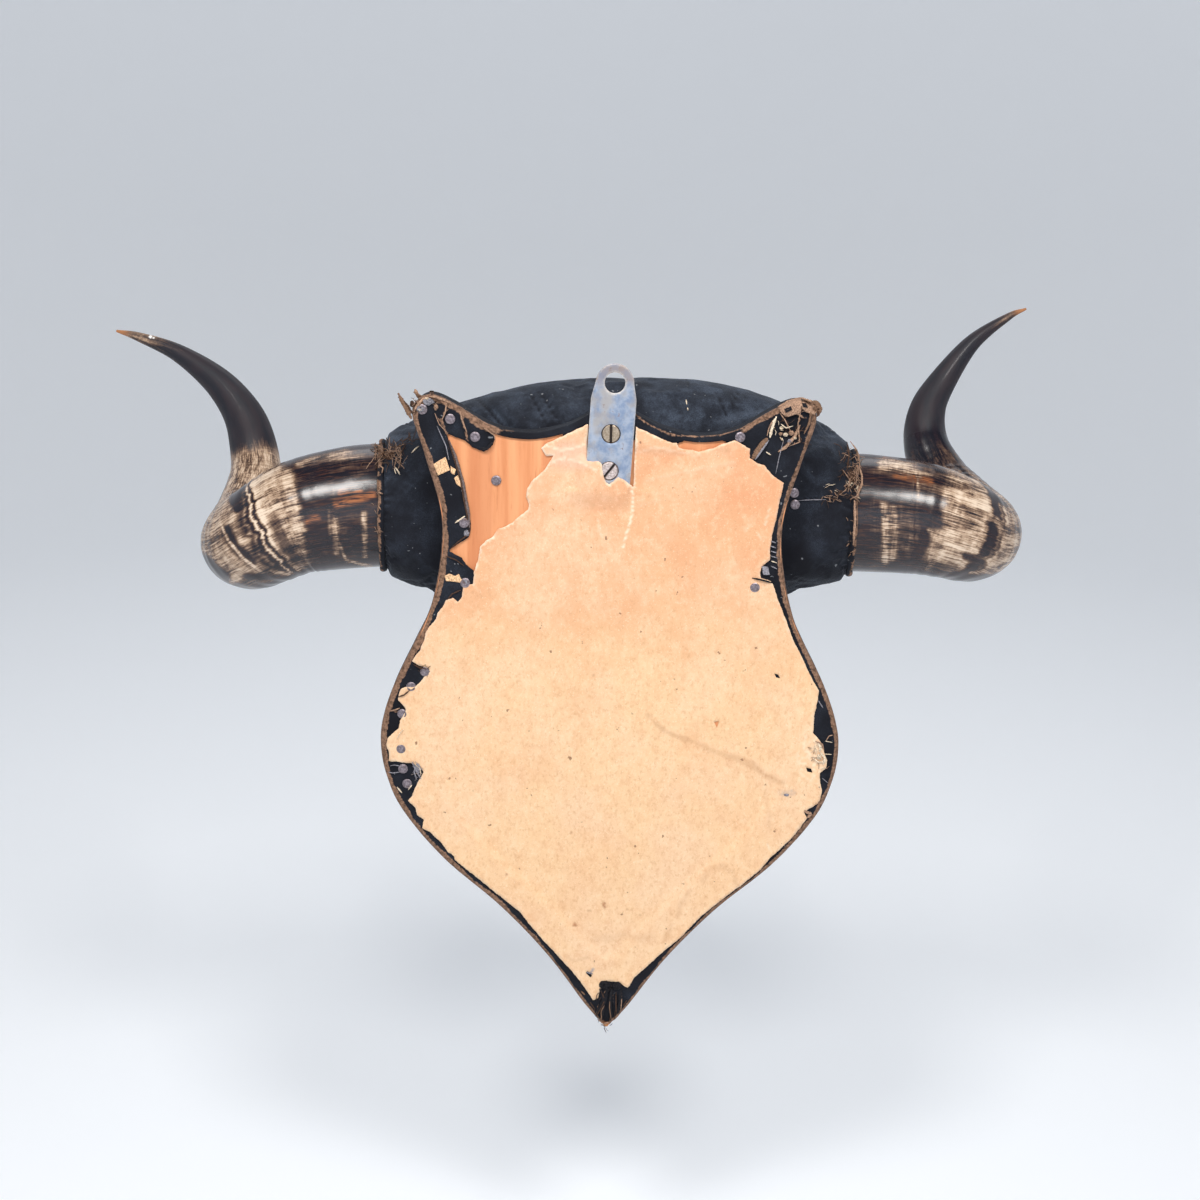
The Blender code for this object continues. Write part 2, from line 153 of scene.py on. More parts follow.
# Horn centre lines: x, y, z and radius, from inside the cuff out to the tip
HORNS = {
    "left": [
        (-126.8, 67.9, -85.2, 37.8), (-150, 65.3, -86.0, 37.6), (-168, 62.9, -88.2, 36.7),
        (-190.5, 59.0, -92.6, 34.8), (-209.0, 58.8, -101.8, 32.0), (-222.5, 68.5, -110.2, 29.9),
        (-232.0, 88.0, -113.0, 26.1), (-234.6, 116.0, -103.5, 21.4), (-235.1, 142.0, -82.3, 16.9),
        (-240.0, 156.0, -61.3, 15.0), (-248.5, 165.0, -43.5, 12.8), (-265.5, 172.0, -24.5, 9.8),
        (-292.3, 178.0, -7.0, 6.0), (-318.0, 180.5, 2.8, 3.2), (-333.7, 181.5, 6.7, 0.8),
    ],
    "right": [
        (133.4, 67.8, -85.2, 36.2), (158, 65.3, -85.2, 36.0), (186.0, 60.4, -86.4, 34.4),
        (206.0, 58.8, -91.0, 32.2), (220.5, 67.0, -97.0, 29.8), (229.0, 84.0, -98.5, 26.6),
        (226.5, 108.0, -90.8, 22.2), (216.5, 132.0, -76.5, 18.0), (207.5, 148.0, -56.0, 14.8),
        (208.8, 160.0, -35.0, 12.0), (219.5, 168.5, -15.8, 9.1), (238.9, 176.0, 9.1, 5.5),
        (262.7, 181.0, 26.2, 2.5), (274.5, 182.0, 31.7, 0.7),
    ],
}
HORN_SIDES = 128
HORN_STEPS = 28

# Share of pale horn by the distance in millimetres from the horn's base end
HORN_PALE = {
    "left": [
        (12, 0.10), (58, 0.12), (62, 0.16), (65, 0.60), (74, 0.66), (77.0, 0.9), (77.8, 0.9),
        (78.3, 0.05), (79.0, 0.05), (79.5, 0.95), (80.2, 0.95), (80.7, 0.03), (82.4, 0.03),
        (82.8, 0.85), (83.3, 0.1), (84.6, 0.3), (86, 0.62), (93, 0.60), (100, 0.56), (118, 0.62),
        (150, 0.5), (178, 0.60), (200, 0.58), (208, 0.2), (214, 0.02), (290, 0.02), (310, 0.3),
        (330, 0.46),
    ],
    "right": [
        (12, 0.08), (30, 0.12), (52, 0.22), (60, 0.3), (64, 0.62), (67.2, 0.62), (67.8, 0.9),
        (68.6, 0.62), (74.8, 0.66), (75.4, 0.95), (76.2, 0.4), (77.2, 0.9), (78, 0.25), (78.6, 0.95),
        (79.4, 0.03), (82.6, 0.03), (83.6, 0.7), (84.6, 0.2), (85.6, 0.66), (88, 0.5), (95, 0.62),
        (99, 0.42), (103, 0.6), (120, 0.5), (150, 0.34), (180, 0.24), (192, 0.14), (201, 0.02),
        (285, 0.02), (300, 0.3),
    ],
}
# Marks of the horns that the photo shows: a line, its half width in pixels, and how pale it is
HORN_MARKS_PHOTO = {
    "left": [
        ([(316, 459), (345, 456), (360, 460)], 8, 0.40),
        ([(300, 462), (316, 455), (345, 451)], 5, 0.55),
        ([(283, 459), (330, 446), (374, 441)], 5, 0.06), ([(348, 470), (374, 462)], 7, 0.16),
        ([(322, 473), (325, 520), (345, 556)], 10, 0.05), ([(300, 490), (320, 560)], 9, 0.06),
        ([(364, 514), (365, 556)], 3.0, 0.56), ([(334, 518), (337, 553)], 3.5, 0.50),
        ([(329, 510), (330, 535)], 2.0, 0.4), ([(340, 545), (346, 560), (372, 567)], 1.8, 0.5),
        ([(288, 475), (294, 505), (300, 530)], 6, 0.62),
        ([(284, 480), (290, 505), (300, 540)], 5, 0.64),
        ([(274, 520), (284, 545), (300, 562)], 7, 0.30),
        ([(240, 486), (234, 500), (238, 508)], 5.5, 0.0),
        ([(226, 530), (236, 548), (252, 562)], 6, 0.08),
        ([(205, 560), (216, 570), (226, 578)], 6, 0.08),
        ([(221, 525), (228, 540), (243, 558), (262, 573), (280, 579)], 1.5, 0.8),
        ([(202, 540), (207, 552), (230, 568), (240, 578)], 2.0, 0.6),
        ([(246, 576), (290, 578), (330, 569)], 4.0, 0.12),
        ([(262, 566), (275, 572), (290, 574)], 2.0, 0.5),
    ],
    "right": [
        ([(868, 462), (878, 464)], 8, 0.1), ([(884, 464), (905, 468), (925, 474)], 6.5, 0.74),
        ([(918, 466), (930, 470)], 4, 0.3), ([(925, 479), (940, 482)], 4, 0.2),
        ([(860, 500), (866, 560)], 12, 0.08), ([(884, 506), (886, 530), (885, 562)], 4.2, 0.62),
        ([(893, 510), (895, 535), (893, 556)], 4.5, 0.5), ([(905, 505), (906, 545)], 5, 0.26),
        ([(918, 470), (918, 500)], 1.2, 0.55), ([(914.5, 475), (914.5, 545)], 1.0, 0.0),
        ([(924, 505), (926, 530), (922, 545), (912, 565)], 7, 0.05),
        ([(936, 500), (938, 525)], 5, 0.15), ([(929, 531), (936, 536)], 2.5, 0.6),
        ([(931, 560), (940, 545)], 3.0, 0.5), ([(926, 570), (935, 560)], 2.0, 0.5),
        ([(915, 574), (935, 576)], 4.0, 0.06), ([(966, 556), (982, 562)], 4.5, 0.05),
        ([(955, 575), (985, 580)], 4.5, 0.08), ([(1000, 568), (1016, 564)], 3.5, 0.05),
        ([(970, 573), (1000, 570), (1012, 562)], 1.8, 0.55), ([(1019, 553), (1017, 560)], 2.2, 0.95),
        ([(996, 520), (1010, 545)], 3.5, 0.6), ([(992, 494), (1003, 505)], 1.5, 0.2),
    ],
}
# Reddish streaks where the horn lets light through
HORN_RED_PHOTO = {
    "left": [
        ([(337, 504), (372, 495)], 4.5), ([(300, 524), (318, 517)], 3.0),
        ([(340, 493), (360, 490)], 3.0),
    ],
    "right": [
        ([(896, 474), (930, 482)], 4.0), ([(884, 458), (915, 466)], 2.0),
    ],
}
# Small pale chips near the left tip
HORN_CHIPS_PHOTO = {"left": [((150.6, 336.8), 1.6), ((153.6, 337.8), 0.9)], "right": []}
# Angle round the horn, in degrees, of the underside, where the pale bands get painted shade
HORN_SHADED_UNDERSIDE = {"left": 112.0, "right": 246.0}

# Torn edge of the backing paper, clockwise from the hanger's right side
PAPER_EDGE_PHOTO = [
    (636, 427), (645, 431), (660, 438), (672, 443), (677, 443), (679, 448), (700, 452), (715, 448),
    (720, 445), (735, 440), (741, 444), (750, 449), (750, 458), (757, 463), (765, 466), (772, 475),
    (784, 483), (780, 500), (776, 520), (772, 535), (770, 550), (770, 560), (762, 566), (760, 573),
    (761, 578), (770, 581), (773, 584), (777, 597), (783, 612), (793, 640), (801, 655), (810, 675),
    (819, 691), (817, 703), (814, 718), (813, 733), (818, 738), (822, 745), (824, 752), (827, 760),
    (826, 768), (820, 773), (820, 783), (822, 790), (820, 800), (817, 804), (810, 808), (804, 812),
    (807, 818), (800, 828), (790, 840), (782, 847), (776, 853), (770, 858), (760, 870), (740, 886),
    (720, 901), (700, 917), (680, 938), (658, 956), (645, 968), (634, 978), (628, 988), (624, 986),
    (620, 982), (608, 981), (603, 985), (600, 990), (598, 998), (593, 1000), (583, 985), (572, 971),
    (560, 958), (545, 942), (530, 925), (520, 912), (500, 896), (480, 880), (455, 860), (454, 856),
    (448, 852), (441, 842), (430, 832), (422, 828), (424, 820), (417, 815), (416, 808), (412, 804),
    (408, 801), (412, 796), (415, 788), (418, 782), (424, 772), (418, 766), (411, 763), (389, 761),
    (389, 752), (386, 745), (388, 738), (394, 732), (399, 728), (400, 720), (403, 716), (406, 710),
    (404, 706), (398, 700), (399, 694), (401, 689), (405, 687), (415, 687), (421, 681), (425, 676),
    (430, 672), (428, 668), (418, 665), (412, 661), (416, 655), (420, 650), (422, 645), (424, 640),
    (426, 632), (430, 626), (436, 619), (438, 612), (443, 607), (446, 600), (453, 598), (458, 602),
    (462, 597), (463, 586), (473, 584), (474, 572), (478, 560), (480, 547), (486, 541), (492, 538),
    (498, 529), (503, 528), (512, 523), (520, 516), (528, 510), (529, 505), (526, 497), (527, 490),
    (531, 482), (545, 470), (553, 456), (546, 456), (541, 448), (548, 443), (561, 437), (588, 424),
    (587, 450), (591, 453), (600, 462), (602, 464), (603, 475), (606, 482), (609, 484), (613, 481),
    (618, 476.5), (625, 480), (631, 485), (633.5, 487), (634.5, 460),
]
PAPER_LAP_PHOTO = [(589, 452), (600, 462), (603, 475), (609, 484), (618, 476.5), (625, 480), (633, 487)]
PAPER_HOLES_PHOTO = [
    [(774, 673), (778, 674), (780, 678), (776, 677)],
    [(714, 722), (719, 721), (717, 728)],
    [(806, 767), (811, 768), (812, 772), (807, 771)],
]

# Inner edge of the velvet turned onto the back where it shows, anticlockwise from the ear's foot
HEM_EDGE_PHOTO = [
    (640, 440), (660, 444), (677, 444), (690, 438), (700, 437.5), (717, 438), (735, 446), (745, 470),
    (745, 560), (750, 600), (770, 680), (785, 720), (790, 760), (780, 800), (740, 850), (680, 900),
    (640, 940), (625, 960), (600, 965), (585, 950), (540, 905), (480, 850), (450, 820), (440, 780),
    (438, 740), (445, 690), (460, 640), (468, 600), (474, 585), (474, 571), (466, 565), (462, 558),
    (449.5, 551.5), (449.5, 549.5), (469, 537), (471, 528), (469.5, 515), (467, 500), (464, 482),
    (460, 468), (456, 455), (450, 447), (447, 434), (466, 441), (472, 447), (484, 452), (488, 449),
    (495, 440), (494, 436), (484, 428.5), (497, 431.5), (510, 433.5), (530, 433), (548, 430.5),
    (561, 427.5), (563, 436), (575, 430), (588, 424), (600, 440),
]


def from_photo(pixels, depth):
    """Points that far from the wall, under pixels of the photograph."""
    pixels = np.asarray(pixels, float).reshape(-1, 2)
    across = (pixels[:, :1] - PHOTO_SIZE / 2) / FOCAL_PIXELS
    above = (PHOTO_SIZE / 2 - pixels[:, 1:]) / FOCAL_PIXELS
    rays = RIGHT * across + UP * above + FORWARD
    return EYE + rays * ((depth - EYE[1]) / rays[:, 1:2])


def to_photo(points):
    """Pixels of the photograph that show these points."""
    offset = points - EYE
    away = offset @ FORWARD
    across = PHOTO_SIZE / 2 + FOCAL_PIXELS * (offset @ RIGHT) / away
    above = PHOTO_SIZE / 2 - FOCAL_PIXELS * (offset @ UP) / away
    return np.stack([across, above], axis=1)


def on_wall(pixels, depth):
    """The same points as x and z alone."""
    return from_photo(pixels, depth)[:, [0, 2]]


def upright(flat, depth):
    """Points with that x and z, at a depth from the wall."""
    return np.stack([flat[:, 0], np.zeros(len(flat)) + depth, flat[:, 1]], axis=1)


def smooth_step(low, high, value):
    """Share that rises smoothly from zero at low to one at high."""
    share = np.clip((value - low) / (high - low), 0.0, 1.0)
    return share * share * (3 - 2 * share)


def spline(points, steps):
    """Catmull-Rom curve through points of any dimension, ends included."""
    knots = [np.asarray(p, float) for p in points]
    knots = [knots[0] * 2 - knots[1]] + knots + [knots[-1] * 2 - knots[-2]]
    curve = []
    for a, b, c, d in zip(knots, knots[1:], knots[2:], knots[3:]):
        for step in range(steps):
            t = step / steps
            curve.append(0.5 * (b * 2 + (c - a) * t + (a * 2 - b * 5 + c * 4 - d) * t ** 2
                                + (b * 3 - a - c * 3 + d) * t ** 3))
    curve.append(knots[-2])
    return np.array(curve)


def even_steps(line, step, closed=False):
    """The same line with points an even step apart."""
    line = np.asarray(line, float)
    if closed:
        line = np.concatenate([line, line[:1]])
    along = np.concatenate([[0], np.cumsum(np.linalg.norm(np.diff(line, axis=0), axis=1))])
    count = max(3, round(along[-1] / step))
    at = np.linspace(0, along[-1], count + 1)
    if closed:
        at = at[:-1]
    return np.stack([np.interp(at, along, line[:, k]) for k in range(line.shape[1])], axis=1)


def line_distance(points, line, closed=False):
    """Distance from each point to a line through other points, in their own unit."""
    line = np.asarray(line, float)
    ends = np.concatenate([line[1:], line[:1]]) if closed else line[1:]
    best = np.full(len(points), 1e9)
    for start, end in zip(line[:len(ends)], ends):
        side = end - start
        share = np.clip(((points - start) @ side) / max(side @ side, 1e-9), 0, 1)
        off = points - start - share[:, None] * side
        best = np.minimum(best, np.einsum("ij,ij->i", off, off))
    return np.sqrt(best)


def loop_distance(points, loop, step=0.25):
    """Distance from each point to a long closed loop, to within a small part of a step."""
    fine = even_steps(loop, step, closed=True)
    tree = KDTree(len(fine))
    for index, (x, z) in enumerate(fine):
        tree.insert((x, z, 0.0), index)
    tree.balance()
    away = np.array([tree.find((x, z, 0.0))[2] for x, z in points])
    return np.sqrt(np.maximum(0.0, away ** 2 - (step / 4) ** 2))


def inside(points, loop):
    """Which points lie inside a closed loop."""
    loop = np.asarray(loop, float)
    found = np.zeros(len(points), bool)
    for (ax, ay), (bx, by) in zip(loop, np.roll(loop, -1, axis=0)):
        crosses = (ay > points[:, 1]) != (by > points[:, 1])
        if ay != by:
            reach = ax + (points[:, 1] - ay) * (bx - ax) / (by - ay)
            found ^= crosses & (points[:, 0] < reach)
    return found


def ragged(loop, step, size, seed):
    """A closed outline with small uneven steps, as torn paper has."""
    fine = even_steps(loop, step, closed=True)
    along = np.roll(fine, -1, axis=0) - np.roll(fine, 1, axis=0)
    normal = np.stack([along[:, 1], -along[:, 0]], axis=1)
    normal /= np.maximum(np.linalg.norm(normal, axis=1, keepdims=True), 1e-9)
    shift = flat_noise(fine, 0.35, seed, 1) + flat_noise(fine, 1.1, seed + 7, 1)
    return fine + normal * shift[:, None] * size * 0.6


def fill(loops, spacing, seed):
    """Points and triangles that fill the first loop and leave the other loops open."""
    outer = loops[0]
    low, high = outer.min(0), outer.max(0)
    rows = int((high[1] - low[1]) / (spacing * 0.866)) + 1
    columns = int((high[0] - low[0]) / spacing) + 2
    shake = np.random.default_rng(seed)
    grid = []
    for row in range(rows):
        x = low[0] + (np.arange(columns) + 0.5 * (row % 2)) * spacing
        z = np.full(columns, low[1] + row * spacing * 0.866)
        grid.append(np.stack([x, z], axis=1))
    grid = np.concatenate(grid)
    grid += shake.uniform(-0.18, 0.18, grid.shape) * spacing
    keep = inside(grid, outer)
    for loop in loops[1:]:
        keep &= ~inside(grid, loop)
    grid = grid[keep]
    for loop in loops:
        grid = grid[loop_distance(grid, loop) > spacing * 0.6]
    points = [Vector(p) for p in grid]
    edges = []
    for loop in loops:
        first = len(points)
        points += [Vector(p) for p in loop]
        edges += [(first + i, first + (i + 1) % len(loop)) for i in range(len(loop))]
    places, _, faces, _, _, _ = delaunay_2d_cdt(points, edges, [], 0, 1e-5)
    places = np.array([p[:] for p in places])
    faces = np.array([f[:3] for f in faces])
    middle = places[faces].mean(axis=1)
    keep = inside(middle, outer)
    for loop in loops[1:]:
        keep &= ~inside(middle, loop)
    faces = faces[keep]
    used, faces = np.unique(faces, return_inverse=True)
    return places[used], faces.reshape(-1, 3)


def boundary(faces):
    """Edges that only one face has, in that face's direction."""
    seen = {}
    for face in faces:
        for a, b in zip(face, list(face[1:]) + [face[0]]):
            key = (min(a, b), max(a, b))
            seen[key] = None if key in seen else (a, b)
    return [edge for edge in seen.values() if edge]


def band(rings, sides):
    """Faces between neighbouring rings."""
    return [[row * sides + i, row * sides + (i + 1) % sides,
             (row + 1) * sides + (i + 1) % sides, (row + 1) * sides + i]
            for row in range(rings - 1) for i in range(sides)]


def capped_band(rings, sides):
    """The same faces, with both end rings closed."""
    ends = [list(range(sides)), list(range((rings - 1) * sides, rings * sides))]
    return band(rings, sides) + ends


def bare_mesh(points, faces):
    """A working mesh from points and faces."""
    bm = bmesh.new()
    corners = [bm.verts.new(p) for p in points]
    for face in faces:
        bm.faces.new([corners[i] for i in face])
    return bm


def gauss(away, wide):
    """Share that falls from one at a line to near zero at twice a width from it."""
    return np.exp(-(away / wide) ** 2)


def closed_sheet(points, faces, under):
    """Closed body between a sheet and its underside, which has the same points moved."""
    count = len(points)
    faces = [list(map(int, face)) for face in faces]
    sides = [[b, a, a + count, b + count] for a, b in boundary(faces)]
    backs = [[i + count for i in reversed(face)] for face in faces]
    return np.concatenate([points, under]), faces + backs + sides


def add_piece(name, points, faces, finish, values=None, sharp=None):
    """A mesh from points in millimetres, with a named value for each point."""
    mesh = bpy.data.meshes.new(name)
    mesh.from_pydata((np.asarray(points) * MM).tolist(), [], [list(map(int, f)) for f in faces])
    for key, value in (values or {}).items():
        value = np.asarray(value, np.float32)
        kind = "FLOAT" if value.ndim == 1 else "FLOAT_VECTOR"
        layer = mesh.attributes.new(key, kind, "POINT")
        layer.data.foreach_set("value" if value.ndim == 1 else "vector", value.ravel())
    mesh.materials.append(finish)
    piece = bpy.data.objects.new(name, mesh)
    bpy.context.scene.collection.objects.link(piece)
    bm = bmesh.new()
    bm.from_mesh(mesh)
    bmesh.ops.recalc_face_normals(bm, faces=bm.faces)
    bm.to_mesh(mesh)
    bm.free()
    mesh.shade_smooth()
    if sharp is not None:
        mesh.set_sharp_from_angle(angle=math.radians(sharp))
    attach(piece, "root")
    return piece


def plain_noise(points):
    """Smooth noise between about minus one and one, one value for each point."""
    cell = np.floor(points).astype(np.int64)
    part = points - cell
    fade = part ** 3 * (part * (part * 6 - 15) + 10)
    total = np.zeros(len(points))
    for corner in range(8):
        step = np.array([corner & 1, corner >> 1 & 1, corner >> 2])
        key = (cell + step) @ HASH_STEPS
        key = ((key ^ (key >> 13)) * HASH_STIR) & HASH_MASK
        slope = SLOPES[(key ^ (key >> 11)) % len(SLOPES)]
        weight = np.where(step, fade, 1 - fade).prod(axis=1)
        total += weight * np.einsum("ij,ij->i", part - step, slope)
    return total * 1.5


def noise_values(points, scale, seed, octaves=3):
    """Layered noise about zero, with finer and weaker layers on the first one."""
    shift = np.array([seed * 13.7, seed * 3.1, seed * 7.9])
    total = np.zeros(len(points))
    for layer in range(octaves):
        total += plain_noise((points * scale + shift) * 2 ** layer) * 0.5 ** layer
    return total


def flat_noise(flat, scale, seed, octaves=2):
    """Layered noise for points of a plane."""
    return noise_values(np.stack([flat[:, 0], flat[:, 1], flat[:, 0] * 0], axis=1), scale, seed, octaves)


# Colours as linear red, green and blue
WOOD_DARK = (0.60, 0.22, 0.085)
WOOD_LIGHT = (0.76, 0.34, 0.155)
WOOD_RING = (0.55, 0.19, 0.075)
WOOD_PORE = (0.48, 0.17, 0.07)
PAPER_LOW = (0.79, 0.52, 0.30)
PAPER_HIGH = (0.70, 0.335, 0.175)
PAPER_CLOUD = (0.79, 0.54, 0.35)
PAPER_MOTTLE = (0.66, 0.35, 0.18)
PAPER_PALE = (0.93, 0.70, 0.48)
PAPER_FIBRE = (0.58, 0.30, 0.15)
PAPER_FLECK = (0.95, 0.74, 0.52)
PAPER_PINK = (0.72, 0.44, 0.36)
PAPER_SPECK = (0.22, 0.10, 0.05)
PAPER_STAIN = (0.42, 0.19, 0.09)
PAPER_GREY = (0.30, 0.27, 0.30)
PAPER_CORE = (0.93, 0.80, 0.62)
VELVET_PILE = (0.0065, 0.0068, 0.0105)
# Pale bloom of dust on the velvet, also the painted sheen beside the centre's creases
VELVET_DUST_AND_SHEEN = (0.105, 0.135, 0.19)
VELVET_LINT = (0.30, 0.31, 0.33)
VELVET_SHEEN = (0.62, 0.70, 0.82)
BACKING_DARK = (0.085, 0.047, 0.030)
BACKING_LIGHT = (0.30, 0.175, 0.115)
BARE_POINT = (0.62, 0.27, 0.11)
HORN_BLACK = (0.007, 0.007, 0.013)
HORN_SMOKE = (0.017, 0.011, 0.016)
HORN_RUST = (0.055, 0.022, 0.015)
HORN_RED = (0.34, 0.12, 0.045)
HORN_BROWN = (0.12, 0.072, 0.050)
HORN_TAN = (0.42, 0.285, 0.19)
HORN_CREAM = (0.72, 0.58, 0.45)
HORN_TIP = (0.42, 0.17, 0.06)
HORN_CHIP = (0.85, 0.83, 0.80)
STEEL_BLUE = (0.22, 0.29, 0.42)
STEEL_PALE = (0.42, 0.47, 0.56)
STEEL_CLOUD = (0.42, 0.36, 0.30)
STEEL_BROWN = (0.30, 0.23, 0.20)
STEEL_FLECK = (0.44, 0.43, 0.43)
STEEL_RUST = (0.20, 0.10, 0.07)
STEEL_EDGE = (0.66, 0.61, 0.56)
SCREW_BLOT = (0.13, 0.075, 0.055)
SCREW_GROOVE = (0.035, 0.025, 0.022)
FIBRE_DARK = (0.45, 0.43, 0.42)
FIBRE_LIGHT = (1.25, 1.22, 1.2)
STUDIO_PAPER = (0.80, 0.82, 0.85)
STUDIO_GLOW = (0.93, 0.96, 1.0)


# Darker and lighter tone of each kind of head
HEAD_TONES = {
    "screw_upper": ((0.30, 0.235, 0.17), (0.46, 0.38, 0.30)),
    "screw_lower": ((0.42, 0.34, 0.31), (0.74, 0.64, 0.62)),
    "nail_steel": ((0.16, 0.135, 0.15), (0.34, 0.29, 0.32)),
}
# Share of dust with painted crease shading, and sheen, of the velvet on each piece
VELVET_LOOKS = {"velvet_on_board": (0.25, 0.06), "velvet_on_centre": (0.75, 0.16)}


# Materials


class Finish:
    """Builds one material's nodes."""

    def __init__(self, name):
        self.material = bpy.data.materials.new(name)
        self.material.use_nodes = True
        self.tree = self.material.node_tree
        self.shader = self.tree.nodes["Principled BSDF"]

    def put(self, socket, value):
        if isinstance(value, bpy.types.NodeSocket):
            self.tree.links.new(value, socket)
        elif isinstance(value, tuple) and socket.type == "RGBA":
            socket.default_value = (*value, 1.0)
        else:
            socket.default_value = value

    def set(self, **values):
        """Shader inputs by name, with underscores for spaces."""
        for key, value in values.items():
            self.put(self.shader.inputs[key.replace("_", " ")], value)

    def node(self, kind, output=0, settings=None, **inputs):
        made = self.tree.nodes.new("ShaderNode" + kind)
        for key, value in (settings or {}).items():
            setattr(made, key, value)
        for key, value in inputs.items():
            name = key.replace("_", " ")
            numbered = key[0] == "i" and key[1:].isdigit()
            socket = made.inputs[int(key[1:]) if numbered else name]
            self.put(socket, value)
        return made.outputs[output]

    def place(self):
        return self.node("TexCoord", output="Object")

    def scaled(self, vector, x, y, z):
        return self.node("VectorMath", settings={"operation": "MULTIPLY"}, i0=vector, i1=(x, y, z))

    def value(self, name):
        return self.node("Attribute", output="Fac", settings={"attribute_name": name})

    def vector(self, name):
        return self.node("Attribute", output="Vector", settings={"attribute_name": name})

    def noise(self, vector, scale, detail=3.0, roughness=0.55):
        return self.node("TexNoise", Vector=vector, Scale=scale, Detail=detail, Roughness=roughness)

    def math(self, operation, a, b):
        return self.node("Math", settings={"operation": operation}, i0=a, i1=b)

    def times(self, a, b):
        return self.math("MULTIPLY", a, b)

    def plus(self, a, b):
        return self.math("ADD", a, b)

    def span(self, value, low, high, to_low=0.0, to_high=1.0):
        return self.node("MapRange", settings={"interpolation_type": "SMOOTHSTEP"}, Value=value,
                         From_Min=low, From_Max=high, To_Min=to_low, To_Max=to_high)

    def mix(self, share, a, b, blend="MIX"):
        made = self.tree.nodes.new("ShaderNodeMix")
        made.data_type = "RGBA"
        made.blend_type = blend
        self.put(made.inputs[0], share)
        self.put(made.inputs[6], a)
        self.put(made.inputs[7], b)
        return made.outputs[2]

    def ramp(self, value, stops):
        made = self.tree.nodes.new("ShaderNodeValToRGB")
        self.put(made.inputs[0], value)
        elements = made.color_ramp.elements
        while len(elements) > 1:
            elements.remove(elements[-1])
        elements[0].position = stops[0][0]
        elements[0].color = (stops[0][1],) * 3 + (1.0,)
        for position, level in stops[1:]:
            elements.new(position).color = (level,) * 3 + (1.0,)
        return made.outputs[0]

    def bump(self, height, strength, distance_mm):
        made = self.tree.nodes.new("ShaderNodeBump")
        self.put(made.inputs["Height"], height)
        made.inputs["Strength"].default_value = strength
        made.inputs["Distance"].default_value = distance_mm * MM
        self.put(self.shader.inputs["Normal"], made.outputs[0])


def wood_finish():
    """Orange softwood with upright grain."""
    f = Finish("bare_wood")
    place = f.place()
    wave = f.noise(f.scaled(place, 1.0, 1.0, 0.05), 110.0, 4.0, 0.6)
    rings = f.noise(f.scaled(place, 1.0, 1.0, 0.025), 32.0, 2.0)
    pores = f.noise(f.scaled(place, 1.0, 1.0, 0.08), 900.0, 3.0, 0.6)
    colour = f.mix(f.span(wave, 0.3, 0.7), WOOD_DARK, WOOD_LIGHT)
    colour = f.mix(f.span(rings, 0.54, 0.60, 0.0, 0.55), colour, WOOD_RING)
    colour = f.mix(f.span(pores, 0.58, 0.72, 0.0, 0.45), colour, WOOD_PORE)
    f.set(Base_Color=colour, Roughness=f.span(pores, 0.2, 0.8, 0.62, 0.8))
    f.bump(f.plus(pores, wave), 0.35, 0.25)
    return f.material


def paper_finish():
    """Old brown paper: fibres, stains, worn ridges, and a pale core where it is torn."""
    f = Finish("kraft_paper")
    place = f.place()
    fibre = f.noise(f.scaled(place, 1.0, 1.0, 0.6), 700.0, 4.0, 0.65)
    fleck = f.noise(place, 1500.0, 2.0, 0.6)
    cloud = f.noise(place, 16.0, 4.0, 0.6)
    upper = f.value("upper")
    colour = f.mix(upper, PAPER_LOW, PAPER_HIGH)
    colour = f.mix(f.span(cloud, 0.40, 0.66, 0.0, 0.6), colour, PAPER_CLOUD)
    mottle = f.noise(f.scaled(place, 1.0, 1.0, 0.8), 210.0, 4.0, 0.7)
    colour = f.mix(f.span(mottle, 0.48, 0.70, 0.0, 0.4), colour, PAPER_MOTTLE)
    colour = f.mix(f.span(mottle, 0.50, 0.34, 0.0, 0.22), colour, PAPER_PALE)
    colour = f.mix(f.span(fibre, 0.50, 0.72, 0.0, 0.5), colour, PAPER_FIBRE)
    colour = f.mix(f.span(fleck, 0.60, 0.74, 0.0, 0.6), colour, PAPER_FLECK)
    colour = f.mix(f.value("pink"), colour, PAPER_PINK)
    speck = f.noise(place, 240.0, 2.0, 0.5)
    colour = f.mix(f.span(speck, 0.735, 0.775, 0.0, 0.8), colour, PAPER_SPECK)
    stain = f.times(f.value("stain"), f.span(cloud, 0.2, 0.7, 0.7, 1.15))
    colour = f.mix(stain, colour, PAPER_STAIN)
    colour = f.mix(f.value("grey"), colour, PAPER_GREY)
    colour = f.mix(f.value("core"), colour, PAPER_CORE)
    f.set(Base_Color=colour, Roughness=0.82, Specular_IOR_Level=0.35)
    relief = f.plus(f.times(fibre, 0.8), f.times(f.value("ridges"), 1.0))
    f.bump(relief, 0.5, 0.25)
    return f.material


